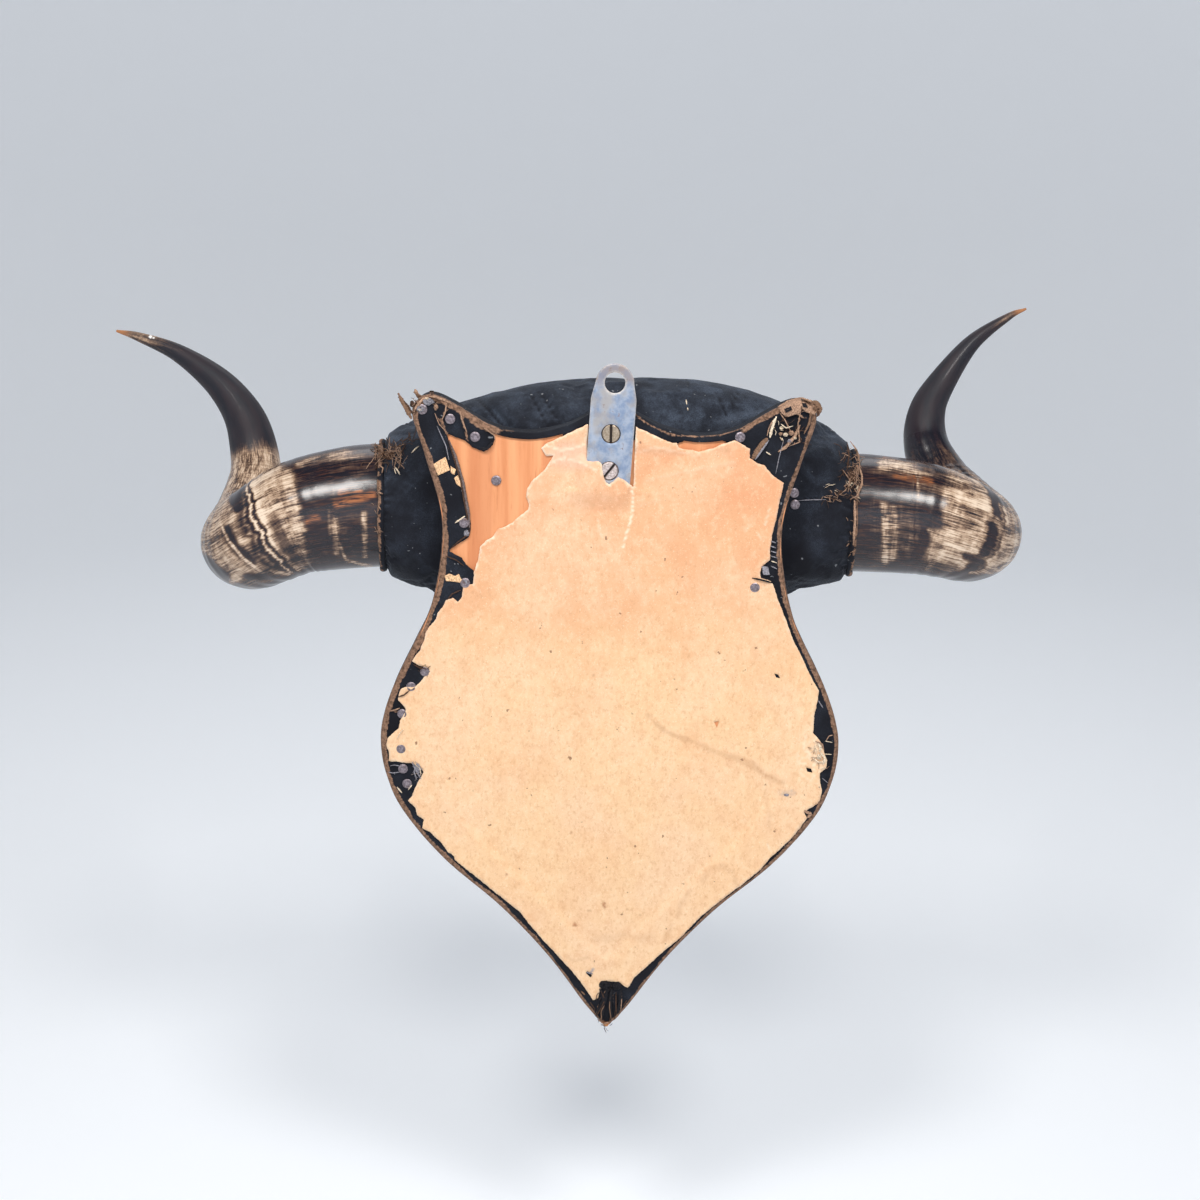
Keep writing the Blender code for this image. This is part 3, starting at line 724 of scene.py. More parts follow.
def velvet_finish(name, dust_and_shading_share, sheen):
    """Black cotton velvet: pile with dust and painted crease shading, and tan backing where the pile is
    worn away.
    """
    f = Finish(name)
    place = f.place()
    pile = f.noise(place, 2600.0, 2.0, 0.6)
    patch = f.noise(place, 70.0, 4.0, 0.65)
    dust_and_shading = f.times(f.value("dust_and_shading"), f.span(patch, 0.38, 0.7, 0.25, 1.0))
    grain = f.span(pile, 0.42, 0.68)
    dust_and_shading = f.times(dust_and_shading, f.span(grain, 0.0, 1.0, 0.35, 1.0))
    colour = f.mix(f.times(dust_and_shading, dust_and_shading_share), VELVET_PILE, VELVET_DUST_AND_SHEEN)
    lint = f.noise(place, 420.0, 1.0, 0.4)
    colour = f.mix(f.span(lint, 0.755, 0.79, 0.0, 0.55), colour, VELVET_LINT)
    worn = f.value("worn")
    fray = f.noise(place, 520.0, 4.0, 0.7)
    edge = f.plus(worn, f.times(f.math("SUBTRACT", fray, 0.5), 0.9))
    tan = f.mix(f.span(fray, 0.32, 0.66), BACKING_DARK, BACKING_LIGHT)
    share = f.times(f.span(edge, 0.38, 0.62), f.span(worn, 0.02, 0.12))
    colour = f.mix(share, colour, tan)
    colour = f.mix(f.value("wood"), colour, BARE_POINT)
    f.set(Base_Color=colour, Roughness=0.88, Specular_IOR_Level=0.18)
    f.set(Sheen_Weight=sheen, Sheen_Roughness=0.38, Sheen_Tint=VELVET_SHEEN)
    f.bump(f.plus(pile, f.times(fray, 0.7)), 0.55, 0.3)
    return f.material


def horn_finish(side, length):
    """Polished horn: dark base, pale fibres in bands that follow the growth, amber tip."""
    f = Finish("horn_" + side)
    along = f.value("along")
    fibre_place = f.vector("fibre")
    wobble = f.noise(f.scaled(fibre_place, 0.07, 0.07, 0.02), 1.0, 2.0, 0.5)
    shiver = f.noise(f.scaled(fibre_place, 0.42, 0.42, 0.04), 1.0, 2.0, 0.5)
    bent = f.plus(along, f.times(f.math("SUBTRACT", wobble, 0.5), 7.0))
    bent = f.plus(bent, f.times(f.math("SUBTRACT", shiver, 0.5), 3.4))
    stops = [(at / length, level) for at, level in HORN_PALE[side]]
    pale = f.ramp(f.math("DIVIDE", bent, length), stops)
    pale = f.plus(pale, f.value("underside_painted_shade"))
    fine = f.noise(f.scaled(fibre_place, 1.1, 1.1, 0.09), 1.0, 3.0, 0.6)
    finer = f.noise(f.scaled(fibre_place, 3.6, 3.6, 0.32), 1.0, 2.0, 0.6)
    cross = f.noise(f.scaled(fibre_place, 0.12, 0.12, 0.7), 1.0, 3.0, 0.6)
    broad = f.noise(f.scaled(fibre_place, 0.16, 0.16, 0.04), 1.0, 3.0, 0.55)
    soft_share = f.times(f.value("mark_share"), f.span(fine, 0.25, 0.62, 0.55, 1.15))
    pale = f.node("Mix", i0=soft_share, i2=pale, i3=f.value("mark_pale"))
    streak = f.plus(f.times(fine, 0.8), f.times(finer, 0.45))
    streak = f.plus(streak, f.times(cross, 0.35))
    streak = f.math("SUBTRACT", f.plus(streak, f.times(broad, 0.8)), 1.2)
    reach = f.plus(f.times(pale, 1.7), 0.5)
    level = f.plus(f.math("SUBTRACT", pale, 0.5), f.times(streak, reach))
    dark = f.mix(f.span(broad, 0.35, 0.65), HORN_BLACK, HORN_SMOKE)
    dark = f.mix(f.times(f.value("warm"), f.span(fine, 0.46, 0.70)), dark, HORN_RUST)
    dark = f.mix(f.times(f.value("red"), f.span(fine, 0.36, 0.60)), dark, HORN_RED)
    colour = f.mix(f.span(level, -0.34, 0.0), dark, HORN_BROWN)
    colour = f.mix(f.span(level, -0.10, 0.24), colour, HORN_TAN)
    colour = f.mix(f.span(level, 0.12, 0.50), colour, HORN_CREAM)
    colour = f.mix(f.value("tip"), colour, HORN_TIP)
    colour = f.mix(f.value("chip"), colour, HORN_CHIP)
    rough = f.math("MAXIMUM", f.span(level, -0.3, 0.5, 0.22, 0.34), f.value("matte"))
    f.set(Base_Color=colour, Roughness=rough, Specular_IOR_Level=0.34, IOR=1.54)
    f.set(Coat_Weight=0.07, Coat_Roughness=0.12)
    relief = f.plus(f.times(fine, 0.5), f.times(finer, 0.3))
    f.bump(f.plus(relief, f.times(cross, 0.4)), 0.14, 0.25)
    return f.material


def steel_finish():
    """Blued strip steel, mottled and scratched, brighter on its edges."""
    f = Finish("hanger_steel")
    place = f.place()
    mottle = f.noise(place, 130.0, 5.0, 0.65)
    fine = f.noise(place, 1300.0, 3.0, 0.6)
    scratch = f.noise(f.scaled(place, 1.0, 1.0, 0.10), 1500.0, 2.0, 0.5)
    colour = f.mix(f.span(mottle, 0.36, 0.64), STEEL_BLUE, STEEL_PALE)
    cloud = f.noise(place, 75.0, 3.0, 0.6)
    colour = f.mix(f.span(cloud, 0.46, 0.66, 0.0, 0.6), colour, STEEL_CLOUD)
    colour = f.mix(f.times(f.value("brown"), f.span(mottle, 0.3, 0.7, 0.4, 0.9)), colour, STEEL_BROWN)
    colour = f.mix(f.span(fine, 0.58, 0.75, 0.0, 0.5), colour, STEEL_FLECK)
    rust = f.noise(place, 260.0, 4.0, 0.7)
    colour = f.mix(f.times(f.span(rust, 0.58, 0.70), f.value("rust")), colour, STEEL_RUST)
    colour = f.mix(f.times(f.value("edge"), f.span(fine, 0.3, 0.6)), colour, STEEL_EDGE)
    f.set(Base_Color=colour, Metallic=0.82, Roughness=f.span(mottle, 0.3, 0.7, 0.38, 0.56))
    f.bump(f.plus(scratch, fine), 0.22, 0.12)
    return f.material


def screw_finish(name, body, bright):
    """Worn steel of a screw or nail head, dark in its groove."""
    f = Finish(name)
    place = f.place()
    fine = f.noise(place, 900.0, 4.0, 0.65)
    blot = f.noise(place, 380.0, 3.0, 0.6)
    colour = f.mix(f.span(fine, 0.38, 0.66), body, bright)
    colour = f.mix(f.span(blot, 0.56, 0.70, 0.0, 0.7), colour, SCREW_BLOT)
    colour = f.mix(f.value("groove"), colour, SCREW_GROOVE)
    f.set(Base_Color=colour, Metallic=0.75, Roughness=f.span(blot, 0.3, 0.7, 0.34, 0.6))
    f.bump(fine, 0.3, 0.15)
    return f.material


# The shield's outline


def shield_outline(step):
    """The shield's closed outline, clockwise from the middle of the top."""
    right = spline(SHIELD_HALF, 10)
    left = right[::-1][1:-1] * np.array([-1, 1])
    loop = np.concatenate([right, left])
    loop[:, 0] += SHIELD_LEAN * np.maximum(0.0, -100 - loop[:, 1])
    return even_steps(loop, step, closed=True)


def inset(loop, distance):
    """Move a clockwise loop inwards by a distance."""
    along = np.roll(loop, -1, axis=0) - np.roll(loop, 1, axis=0)
    along /= np.linalg.norm(along, axis=1, keepdims=True)
    normal = np.stack([along[:, 1], -along[:, 0]], axis=1)
    before = loop - np.roll(loop, 1, axis=0)
    before /= np.linalg.norm(before, axis=1, keepdims=True)
    across = np.stack([before[:, 1], -before[:, 0]], axis=1)
    mitre = np.maximum(0.45, (normal * across).sum(1, keepdims=True))
    return loop + normal * distance / mitre


# Velvet cover

HEM_PLEATS_PHOTO = [
    ([(450, 403), (446, 410), (441, 419), (447, 434)], 1.1, 0.9, 0.9),
    ([(460, 411), (463, 420), (466, 433), (468, 440)], 1.3, 0.9, 0.85),
    ([(436, 414), (442, 425), (446, 434), (449, 450)], 0.7, 0.5, 0.6),
    ([(402, 711), (391, 712)], 0.8, 0.5, 0.8), ([(413, 665), (428, 669)], 0.8, 0.4, 0.5),
    ([(655, 428), (668, 433), (680, 435.5), (700, 436.5), (720, 435), (740, 429), (757, 417),
        (766, 411)], 1.3, 0.5, 0.62),
    ([(636, 415), (645, 422), (660, 430), (675, 436)], 1.8, 0.6, 0.62),
    ([(462, 413), (476, 421), (490, 428.5), (500, 431.5)], 1.6, 0.4, 0.8),
    ([(500, 430.5), (520, 431), (540, 429), (556, 424)], 0.9, 0.4, 0.62),
    ([(781, 418), (786, 425), (792, 432)], 0.8, 0.6, 0.8),
    ([(799, 413), (798, 425), (799, 440), (790, 446), (783, 443)], 0.8, 0.6, 0.75),
    ([(786, 405), (792, 412), (804, 408)], 2.4, 0.5, 0.6),
    ([(804, 412), (798, 421), (812, 415)], 0.8, 0.4, 0.7),
    ([(778, 404), (772, 411), (768, 418)], 2.2, 0.5, 0.7),
    ([(600, 986), (601, 994), (598, 1004), (596, 1014)], 1.0, 1.3, 0.55),
    ([(607, 983), (603, 996), (604, 1008), (601, 1019)], 1.0, 1.5, 0.6),
    ([(614, 990), (613, 1000), (617, 1010), (615, 1021)], 1.0, 1.3, 0.5),
    ([(620, 992), (620, 1003), (618, 1012), (617, 1019)], 1.0, 1.2, 0.6),
    ([(578, 984), (583, 990)], 0.8, 0.5, 0.5),
]


def velvet_values(points, outline):
    """Wear, dust and bare wood of the velvet on the board."""
    flat = points[:, [0, 2]]
    inset_by = loop_distance(flat, outline)
    pixels = to_photo(points)
    back = smooth_step(9.0, 5.5, points[:, 1])
    left = smooth_step(20.0, -20.0, points[:, 0])
    width = 3.7 * left + 3.0 * (1 - left)
    low_part = smooth_step(-300.0, -380.0, points[:, 2])
    width = width * (1 - 0.35 * low_part)
    top = smooth_step(-48.0, -36.0, points[:, 2])
    top *= smooth_step(110.0, 100.0, np.abs(points[:, 0]))
    uneven = noise_values(points, 0.07, 3)
    worn = smooth_step(width + 0.9, width - 0.9, inset_by + uneven * 1.0) * (0.9 - 0.2 * top)
    worn *= back
    scallop = smooth_step(494, 506, pixels[:, 0]) * smooth_step(748, 736, pixels[:, 0])
    scallop *= smooth_step(470, 450, pixels[:, 1])
    worn *= 1 - 0.75 * scallop
    pleat = np.zeros(len(points))
    for line, wide, _, strength in HEM_PLEATS_PHOTO:
        pleat = np.maximum(pleat, strength * gauss(line_distance(pixels, line), wide))
    worn = np.maximum(worn, pleat * back)
    front_wear = smooth_step(1.6, 0.4, np.abs(points[:, 1] - 17.5)) * 0.25
    worn = np.maximum(worn, front_wear * (uneven > 0.1))
    wood = smooth_step(-399.5, -401.5, points[:, 2]) * smooth_step(23.5, 22.0, points[:, 1])
    dust_and_shading = 0.55 + 0.9 * noise_values(points, 0.03, 9)
    return {"worn": np.clip(worn, 0, 1), "wood": wood, "dust_and_shading": np.clip(dust_and_shading, 0, 1)}


def velvet_relief(points):
    """How far the cloth on the back stands off the board, in millimetres."""
    pixels = to_photo(points)
    lift = np.zeros(len(points))
    for line, wide, height, _ in HEM_PLEATS_PHOTO:
        lift = np.maximum(lift, height * gauss(line_distance(pixels, line), wide * 1.3))
    return lift + 0.16 * noise_values(points, 0.22, 5)


def make_velvet(finish):
    """One cloth over the front and the edge, turned over onto the back."""
    outline = shield_outline(OUTLINE_STEP)
    rings = []
    for angle in FRONT_ANGLES:
        turn = math.radians(angle)
        loop = inset(outline, FRONT_ROUND * (1 - math.cos(turn)))
        rings.append((loop, VELVET_FRONT - FRONT_ROUND * (1 - math.sin(turn))))
    for depth in EDGE_DEPTHS:
        rings.append((outline, depth))
    for angle in RIM_ANGLES:
        turn = math.radians(angle)
        loop = inset(outline, RIM_ROUND * (1 - math.cos(turn)))
        rings.append((loop, HEM_BACK + RIM_ROUND * (1 - math.sin(turn))))
    points = np.concatenate([upright(loop, y) for loop, y in rings])
    faces = band(len(rings), len(outline))
    front_flat, front_faces = fill([rings[0][0]], FRONT_SPACING, 1)
    hem_edge = on_wall(HEM_EDGE_PHOTO, HEM_BACK)
    hem_edge = ragged(hem_edge, 1.1, 0.5, 4)
    back_flat, back_faces = fill([rings[-1][0], hem_edge], HEM_SPACING, 2)
    for flat, flat_faces, y in ((front_flat, front_faces, VELVET_FRONT),
                                (back_flat, back_faces[:, ::-1], HEM_BACK)):
        faces += (flat_faces + len(points)).tolist()
        points = np.concatenate([points, upright(flat, y)])
    bm = bare_mesh(points, faces)
    bmesh.ops.remove_doubles(bm, verts=bm.verts, dist=0.02)
    bmesh.ops.recalc_face_normals(bm, faces=bm.faces)
    bm.verts.index_update()
    points = np.array([v.co[:] for v in bm.verts])
    normals = np.array([v.normal[:] for v in bm.verts])
    faces = [[v.index for v in f.verts] for f in bm.faces]
    bm.free()
    if normals[points[:, 1] > VELVET_FRONT - 0.1][:, 1].mean() < 0:
        normals = -normals
    values = velvet_values(points, outline)
    back = smooth_step(6.0, 3.0, points[:, 1])
    lift = velvet_relief(points) * back
    swell = 0.35 * noise_values(points, 0.03, 6) * (1 - back)
    under = points - normals * HEM_THICK
    points = points + normals * swell[:, None]
    points[:, 1] -= lift
    points, faces = closed_sheet(points, faces, under)
    values = {key: np.concatenate([value, value]) for key, value in values.items()}
    piece = add_piece("velvet_cloth", points, faces, finish, values)
    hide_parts("velvet_cover")
    return piece


# Backing paper

PAPER_CREASES_PHOTO = [
    ([(631, 485), (633, 498), (632, 515), (626, 535), (623, 547)], 0.8, 0.3, 0.75),
    ([(754, 515), (745, 530)], 0.9, 0.3, 0.3), ([(770, 507), (765, 525)], 0.9, 0.4, 0.4),
    ([(758, 533), (763, 541)], 0.9, 0.3, 0.3), ([(598, 520), (601, 536)], 0.9, 0.2, 0.3),
    ([(640, 452), (655, 447), (680, 452), (700, 455)], 1.2, 0.25, 0.25),
    ([(645, 480), (690, 470), (735, 462)], 1.6, 0.2, 0.12), ([(660, 500), (640, 505)], 1.6, 0.15, 0.1),
    ([(806, 735), (803, 748), (810, 742)], 0.9, 0.4, 0.4),
    ([(798, 752), (797, 762), (802, 775), (812, 782)], 0.9, 0.4, 0.3),
    ([(818, 742), (812, 748), (820, 752)], 1.0, 0.6, 0.4), ([(768, 845), (774, 855)], 0.8, 0.2, 0.5),
    ([(548, 446), (560, 450), (575, 448), (586, 444)], 1.0, 0.3, 0.5),
    ([(550, 462), (565, 458), (580, 462), (596, 470)], 1.0, 0.3, 0.45),
]
PAPER_STAINS_PHOTO = [
    ([(648, 715), (655, 723), (665, 731), (680, 738), (695, 742)], 2.0, 0.42),
    ([(695, 742), (710, 750), (725, 755), (740, 760), (752, 765), (765, 775), (783, 783)], 3.2, 0.34),
    ([(703, 880), (710, 868), (722, 866), (733, 872), (737, 885)], 2.2, 0.22),
    ([(690, 890), (680, 905), (678, 915)], 2.2, 0.2), ([(672, 925), (665, 940)], 2.4, 0.2),
    ([(765, 790), (768, 810), (770, 830)], 2.6, 0.16),
    ([(594, 940), (620, 936), (650, 938)], 4.0, 0.14),
    ([(566, 957), (575, 961), (588, 957)], 1.2, 0.22),
]
PAPER_MARKS_PHOTO = [
    ((604, 905), 2.0, 3.4, 0.9), ((575, 925), 1.8, 1.6, 0.9), ((507, 874), 1.0, 1.0, 0.8),
    ((705, 907), 0.9, 0.9, 0.8), ((446, 637), 0.8, 0.8, 0.8), ((594, 676), 1.4, 0.8, 0.6),
    ((571, 832), 1.0, 0.7, 0.6), ((589, 910), 2.4, 0.8, 0.5), ((579, 546), 0.8, 1.2, 0.5),
    ((627, 910), 0.8, 0.8, 0.5), ((640, 915), 0.8, 0.8, 0.5),
]
PAPER_SCRAPE_PHOTO = [(592, 971), 3.6, 1.3, 35.0]
PAPER_SMUDGE_PHOTO = [(787, 793), 9.0, 3.6]
CRUMPLE_PHOTO = (571, 455)
WORN_PATCH_PHOTO = (815, 757)


def plate_corners():
    """Corners of the hanger strip's lower part, in the wall plane."""
    half = PLATE_WIDTH / 2
    c, s = math.cos(PLATE_LEAN), math.sin(PLATE_LEAN)
    low = PLATE_BOTTOM
    corners = np.array([(-half, -40.0), (half, -40.0), (half, low), (-half, low)])
    return corners @ np.array([[c, -s], [s, c]]).T


def paper_depths(flat, hem_edge):
    """The paper lies on the hem near the edge, on the board further in, and laps the hanger."""
    into_board = loop_distance(flat, hem_edge) * np.where(inside(flat, hem_edge), 1.0, -1.0)
    depth = PAPER_OVER_HEM + (PAPER_OVER_BOARD - PAPER_OVER_HEM) * smooth_step(1.0, 8.0, into_board)
    lap = on_wall(PAPER_LAP_PHOTO, 0.0)
    corners = plate_corners()
    on_plate = inside(flat, corners)
    near = np.minimum(line_distance(flat, lap), line_distance(flat, corners, closed=True))
    near = np.where(on_plate, 0.0, near)
    low_end = smooth_step(-41.0, -46.0, flat[:, 1])
    below = smooth_step(0.0, -3.0, flat[:, 1] - PLATE_BOTTOM)
    share = smooth_step(7.0 + 9.0 * below, 0.3, near) * low_end
    beside = (flat[:, 0] > corners[2][0] - 0.5) & ~on_plate
    share = np.where(beside, share * 0.45, share)
    return depth * (1 - share) - PAPER_LAP_PROUD * share


def ellipse(pixels, centre, wide, high, turn=0.0):
    """Share that falls from one at the centre to zero outside an ellipse."""
    offset = pixels - np.array(centre)
    c, s = math.cos(math.radians(turn)), math.sin(math.radians(turn))
    x = (offset[:, 0] * c - offset[:, 1] * s) / wide
    y = (offset[:, 0] * s + offset[:, 1] * c) / high
    return smooth_step(1.25, 0.75, np.hypot(x, y))


def oval_distance(pixels, centre, upright_share):
    """Distance from a spot, with the upright part of it weighed by a share."""
    across, down = (pixels - np.array(centre)).T
    return np.hypot(across, down * upright_share)


def make_paper(finish):
    """The torn sheet, with its creases, stains, marks and curled edge."""
    edge = ragged(on_wall(PAPER_EDGE_PHOTO, PAPER_OVER_HEM), 0.75, 0.42, 1)
    holes = [on_wall(hole, PAPER_OVER_BOARD) for hole in PAPER_HOLES_PHOTO]
    holes = [even_steps(hole, 0.7, closed=True) for hole in holes]
    flat, faces = fill([edge] + holes, PAPER_SPACING, 3)
    hem_edge = on_wall(HEM_EDGE_PHOTO, HEM_BACK)
    depth = paper_depths(flat, hem_edge)
    points = upright(flat, depth)
    pixels = to_photo(points)
    torn = loop_distance(flat, edge)
    left_tear = smooth_step(700, 640, pixels[:, 0]) * smooth_step(610, 560, pixels[:, 1])
    curl = np.exp(-torn / 1.6) * (0.32 - 0.16 * left_tear)
    curl *= 0.6 + noise_values(points, 0.12, 11)
    lift = np.maximum(curl, 0.0)
    core = smooth_step(0.95, 0.2, torn) * (0.3 + 0.35 * left_tear)
    core *= 0.75 + noise_values(points, 0.3, 12)
    pink = 0.75 * smooth_step(38, 12, oval_distance(pixels, CRUMPLE_PHOTO, 1.8))
    crumple = pink * (0.5 + 1.2 * np.abs(noise_values(points, 0.35, 13)))
    lift += 0.55 * crumple
    stain = np.zeros(len(points))
    for line, wide, height, tint in PAPER_CREASES_PHOTO:
        near = gauss(line_distance(pixels, line), wide)
        lift += height * near
        core = np.maximum(core, tint * near)
    for line, wide, strength in PAPER_STAINS_PHOTO:
        away = line_distance(pixels, line) + 2.0 * noise_values(points, 0.12, 14)
        stain = np.maximum(stain, strength * gauss(away, wide))
    grey = np.zeros(len(points))
    for centre, wide, high, strength in PAPER_MARKS_PHOTO:
        stain = np.maximum(stain, strength * ellipse(pixels, centre, wide, high))
    centre, wide, high, turn = PAPER_SCRAPE_PHOTO
    grey = np.maximum(grey, 0.9 * ellipse(pixels, centre, wide, high, turn))
    centre, wide, high = PAPER_SMUDGE_PHOTO
    smudge = 0.35 * ellipse(pixels, centre, wide, high) * (0.6 + noise_values(points, 0.4, 15))
    grey = np.maximum(grey, smudge)
    worn = smooth_step(26, 8, oval_distance(pixels, WORN_PATCH_PHOTO, 0.7))
    lift += worn * 0.5 * np.abs(noise_values(points, 0.3, 16))
    core = np.maximum(core, worn * 0.5 * smooth_step(0.0, 0.4, noise_values(points, 0.28, 17)))
    lift += 0.12 * noise_values(points, 0.05, 18) + 0.035 * noise_values(points, 0.35, 19)
    low_left = smooth_step(620, 560, pixels[:, 0]) * smooth_step(650, 720, pixels[:, 1])
    low_left *= smooth_step(900, 840, pixels[:, 1])
    drawn_out = np.stack([flat[:, 0] * 0.75 + flat[:, 1] * 0.12, flat[:, 1] * 0.045], axis=1)
    brushed = flat_noise(drawn_out, 1.0, 3, 1)
    lift += 0.12 * brushed * low_left
    upper = smooth_step(740, 470, pixels[:, 1]) + 0.35 * noise_values(points, 0.02, 20)
    points[:, 1] -= lift
    under = points.copy()
    under[:, 1] += PAPER_THICK
    values = {
        "upper": np.clip(upper, 0, 1), "stain": np.clip(stain, 0, 1), "core": np.clip(core, 0, 1),
        "pink": np.clip(pink * 0.5, 0, 1), "grey": np.clip(grey, 0, 1),
        "ridges": brushed * low_left,
    }
    points, faces = closed_sheet(points, faces, under)
    values = {key: np.concatenate([value, value]) for key, value in values.items()}
    piece = add_piece("torn_backing_paper", points, faces, finish, values)
    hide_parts("backing_paper")
    return piece


# Hanger, screws and nails


def make_plate(finish):
    """The hanger strip, with rounded edges about its outline and its holes."""
    half = PLATE_WIDTH / 2
    outline = [(PLATE_TOP_RADIUS * math.cos(a), PLATE_TOP_RADIUS * math.sin(a))
               for a in np.linspace(0, math.pi, 40)]
    outline += [(-half, -9), (-half, PLATE_BOTTOM), (half, PLATE_BOTTOM), (half, -9)]
    turn = Matrix.Rotation(PLATE_LEAN, 2)
    outline = np.array([(turn @ Vector(p))[:] for p in outline])
    outline = even_steps(outline, 0.8, closed=True)[::-1]
    circle = np.linspace(0, math.tau, 44, endpoint=False)
    ring = np.stack([np.cos(circle), np.sin(circle)], axis=1)
    holes = [ring * HOLE_RADIUS]
    holes += [ring * (SCREW_HEAD + GAP) + np.array(place) for place, _ in SCREWS.values()]
    flat, faces = fill([outline] + holes, PLATE_SPACING, 5)
    to_edge = loop_distance(flat, outline)
    to_hole = loop_distance(flat, holes[0])
    to_screws = [loop_distance(flat, hole) for hole in holes[1:]]
    to_rim = np.minimum.reduce([to_edge, to_hole] + to_screws)
    top = smooth_step(0.0, 8.0, flat[:, 1] + 4)
    edge = np.maximum(smooth_step(0.8, 0.1, to_edge) * 0.7, smooth_step(1.3, 0.3, to_hole))
    ring = top * smooth_step(-12.0, -6.0, flat[:, 1])
    depth = 0.28 * smooth_step(0.5, 0.0, to_rim)
    dent = 0.05 * flat_noise(flat, 0.1, 21, 3)
    points = upright(flat, depth + np.maximum(dent, -0.02))
    points, faces = closed_sheet(points, faces, upright(flat, PLATE_THICK - depth))
    brown = np.tile(ring, 2)
    rust = 0.35 + noise_values(points, 0.08, 22) + 0.3 * smooth_step(-20, -55, points[:, 2])
    rust = np.maximum(np.clip(rust, 0, 1), 0.8 * brown)
    values = {"edge": np.tile(edge, 2), "rust": rust, "brown": brown}
    piece = add_piece("hanger_strip", points, faces, finish, values, sharp=40)
    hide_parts("hanger_plate")


def disc(radius, rings, sides):
    """Points and faces of a flat disc about its own centre."""
    flat = [(0.0, 0.0)]
    for row in range(1, rings + 1):
        for i in range(sides):
            a = math.tau * i / sides
            flat.append((radius * row / rings * math.cos(a), radius * row / rings * math.sin(a)))
    faces = [[0, 1 + i, 1 + (i + 1) % sides] for i in range(sides)]
    for row in range(1, rings):
        low, high = 1 + (row - 1) * sides, 1 + row * sides
        faces += [[low + i, high + i, high + (i + 1) % sides, low + (i + 1) % sides] for i in range(sides)]
    return np.array(flat), faces


def make_screw(name, place, slot_turn, finish):
    """A countersunk head, flush with the strip, with a slot across it."""
    flat, faces = disc(SCREW_HEAD, SCREW_RINGS, SCREW_SIDES)
    away = np.linalg.norm(flat, axis=1)
    across = flat[:, 0] * math.cos(slot_turn) - flat[:, 1] * math.sin(slot_turn)
    groove = smooth_step(0.75, 0.5, np.abs(across))
    depth = 0.05 + 0.9 * groove + 0.4 * smooth_step(SCREW_HEAD - 0.7, SCREW_HEAD, away)
    wear = 0.04 * flat_noise(flat, 0.8, 23, 3)
    place = np.array(place)
    under = upright(flat * SCREW_TAPER + place, SCREW_DEPTH)
    points, faces = closed_sheet(upright(flat + place, depth + wear), faces, under)
    rim = smooth_step(SCREW_HEAD - 0.5, SCREW_HEAD - 0.1, away) * 0.8
    values = {"groove": np.tile(np.maximum(groove, rim), 2)}
    piece = add_piece(name + "_head", points, faces, finish, values, sharp=50)
    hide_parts(name)


def make_nail(node, finish, number):
    """A nail's round head, slightly dished, on its short visible neck."""
    low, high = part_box(node)
    centre = (np.array(low) + np.array(high)) / 2 / MM
    top = low[1] / MM
    flat, faces = disc(NAIL_HEAD, NAIL_RINGS, NAIL_SIDES)
    away = np.linalg.norm(flat, axis=1) / NAIL_HEAD
    dish = 0.16 * smooth_step(0.75, 0.2, away) + 0.4 * smooth_step(0.8, 1.0, away)
    tilt = 0.03 * flat[:, 0] * math.sin(number * 2.1) + 0.03 * flat[:, 1] * math.cos(number * 1.3)
    around = flat + centre[[0, 2]]
    under = upright(around, top + NAIL_NECK)
    points, faces = closed_sheet(upright(around, top + dish + tilt), faces, under)
    ring = gauss(away - 0.55, 0.12) * 0.25
    piece = add_piece(node + "_head", points, faces, finish, {"groove": np.tile(ring, 2)}, sharp=50)
    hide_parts(node)


# Horns


HORN_LINES = {side: spline(points, HORN_STEPS) for side, points in HORNS.items()}


def horn_at(side, x):
    """The horn's centre and radius where its line crosses a plane of constant x."""
    line = HORN_LINES[side]
    for near, far in zip(line, line[1:]):
        if (near[0] - x) * (far[0] - x) <= 0:
            share = (x - near[0]) / (far[0] - near[0])
            return near + (far - near) * share
    return line[0]


def angle_share(angles, centre, width):
    """Share that falls from one at an angle to zero, width degrees away from it."""
    away = np.abs((angles - centre + 180) % 360 - 180)
    return smooth_step(width, 0.0, away)


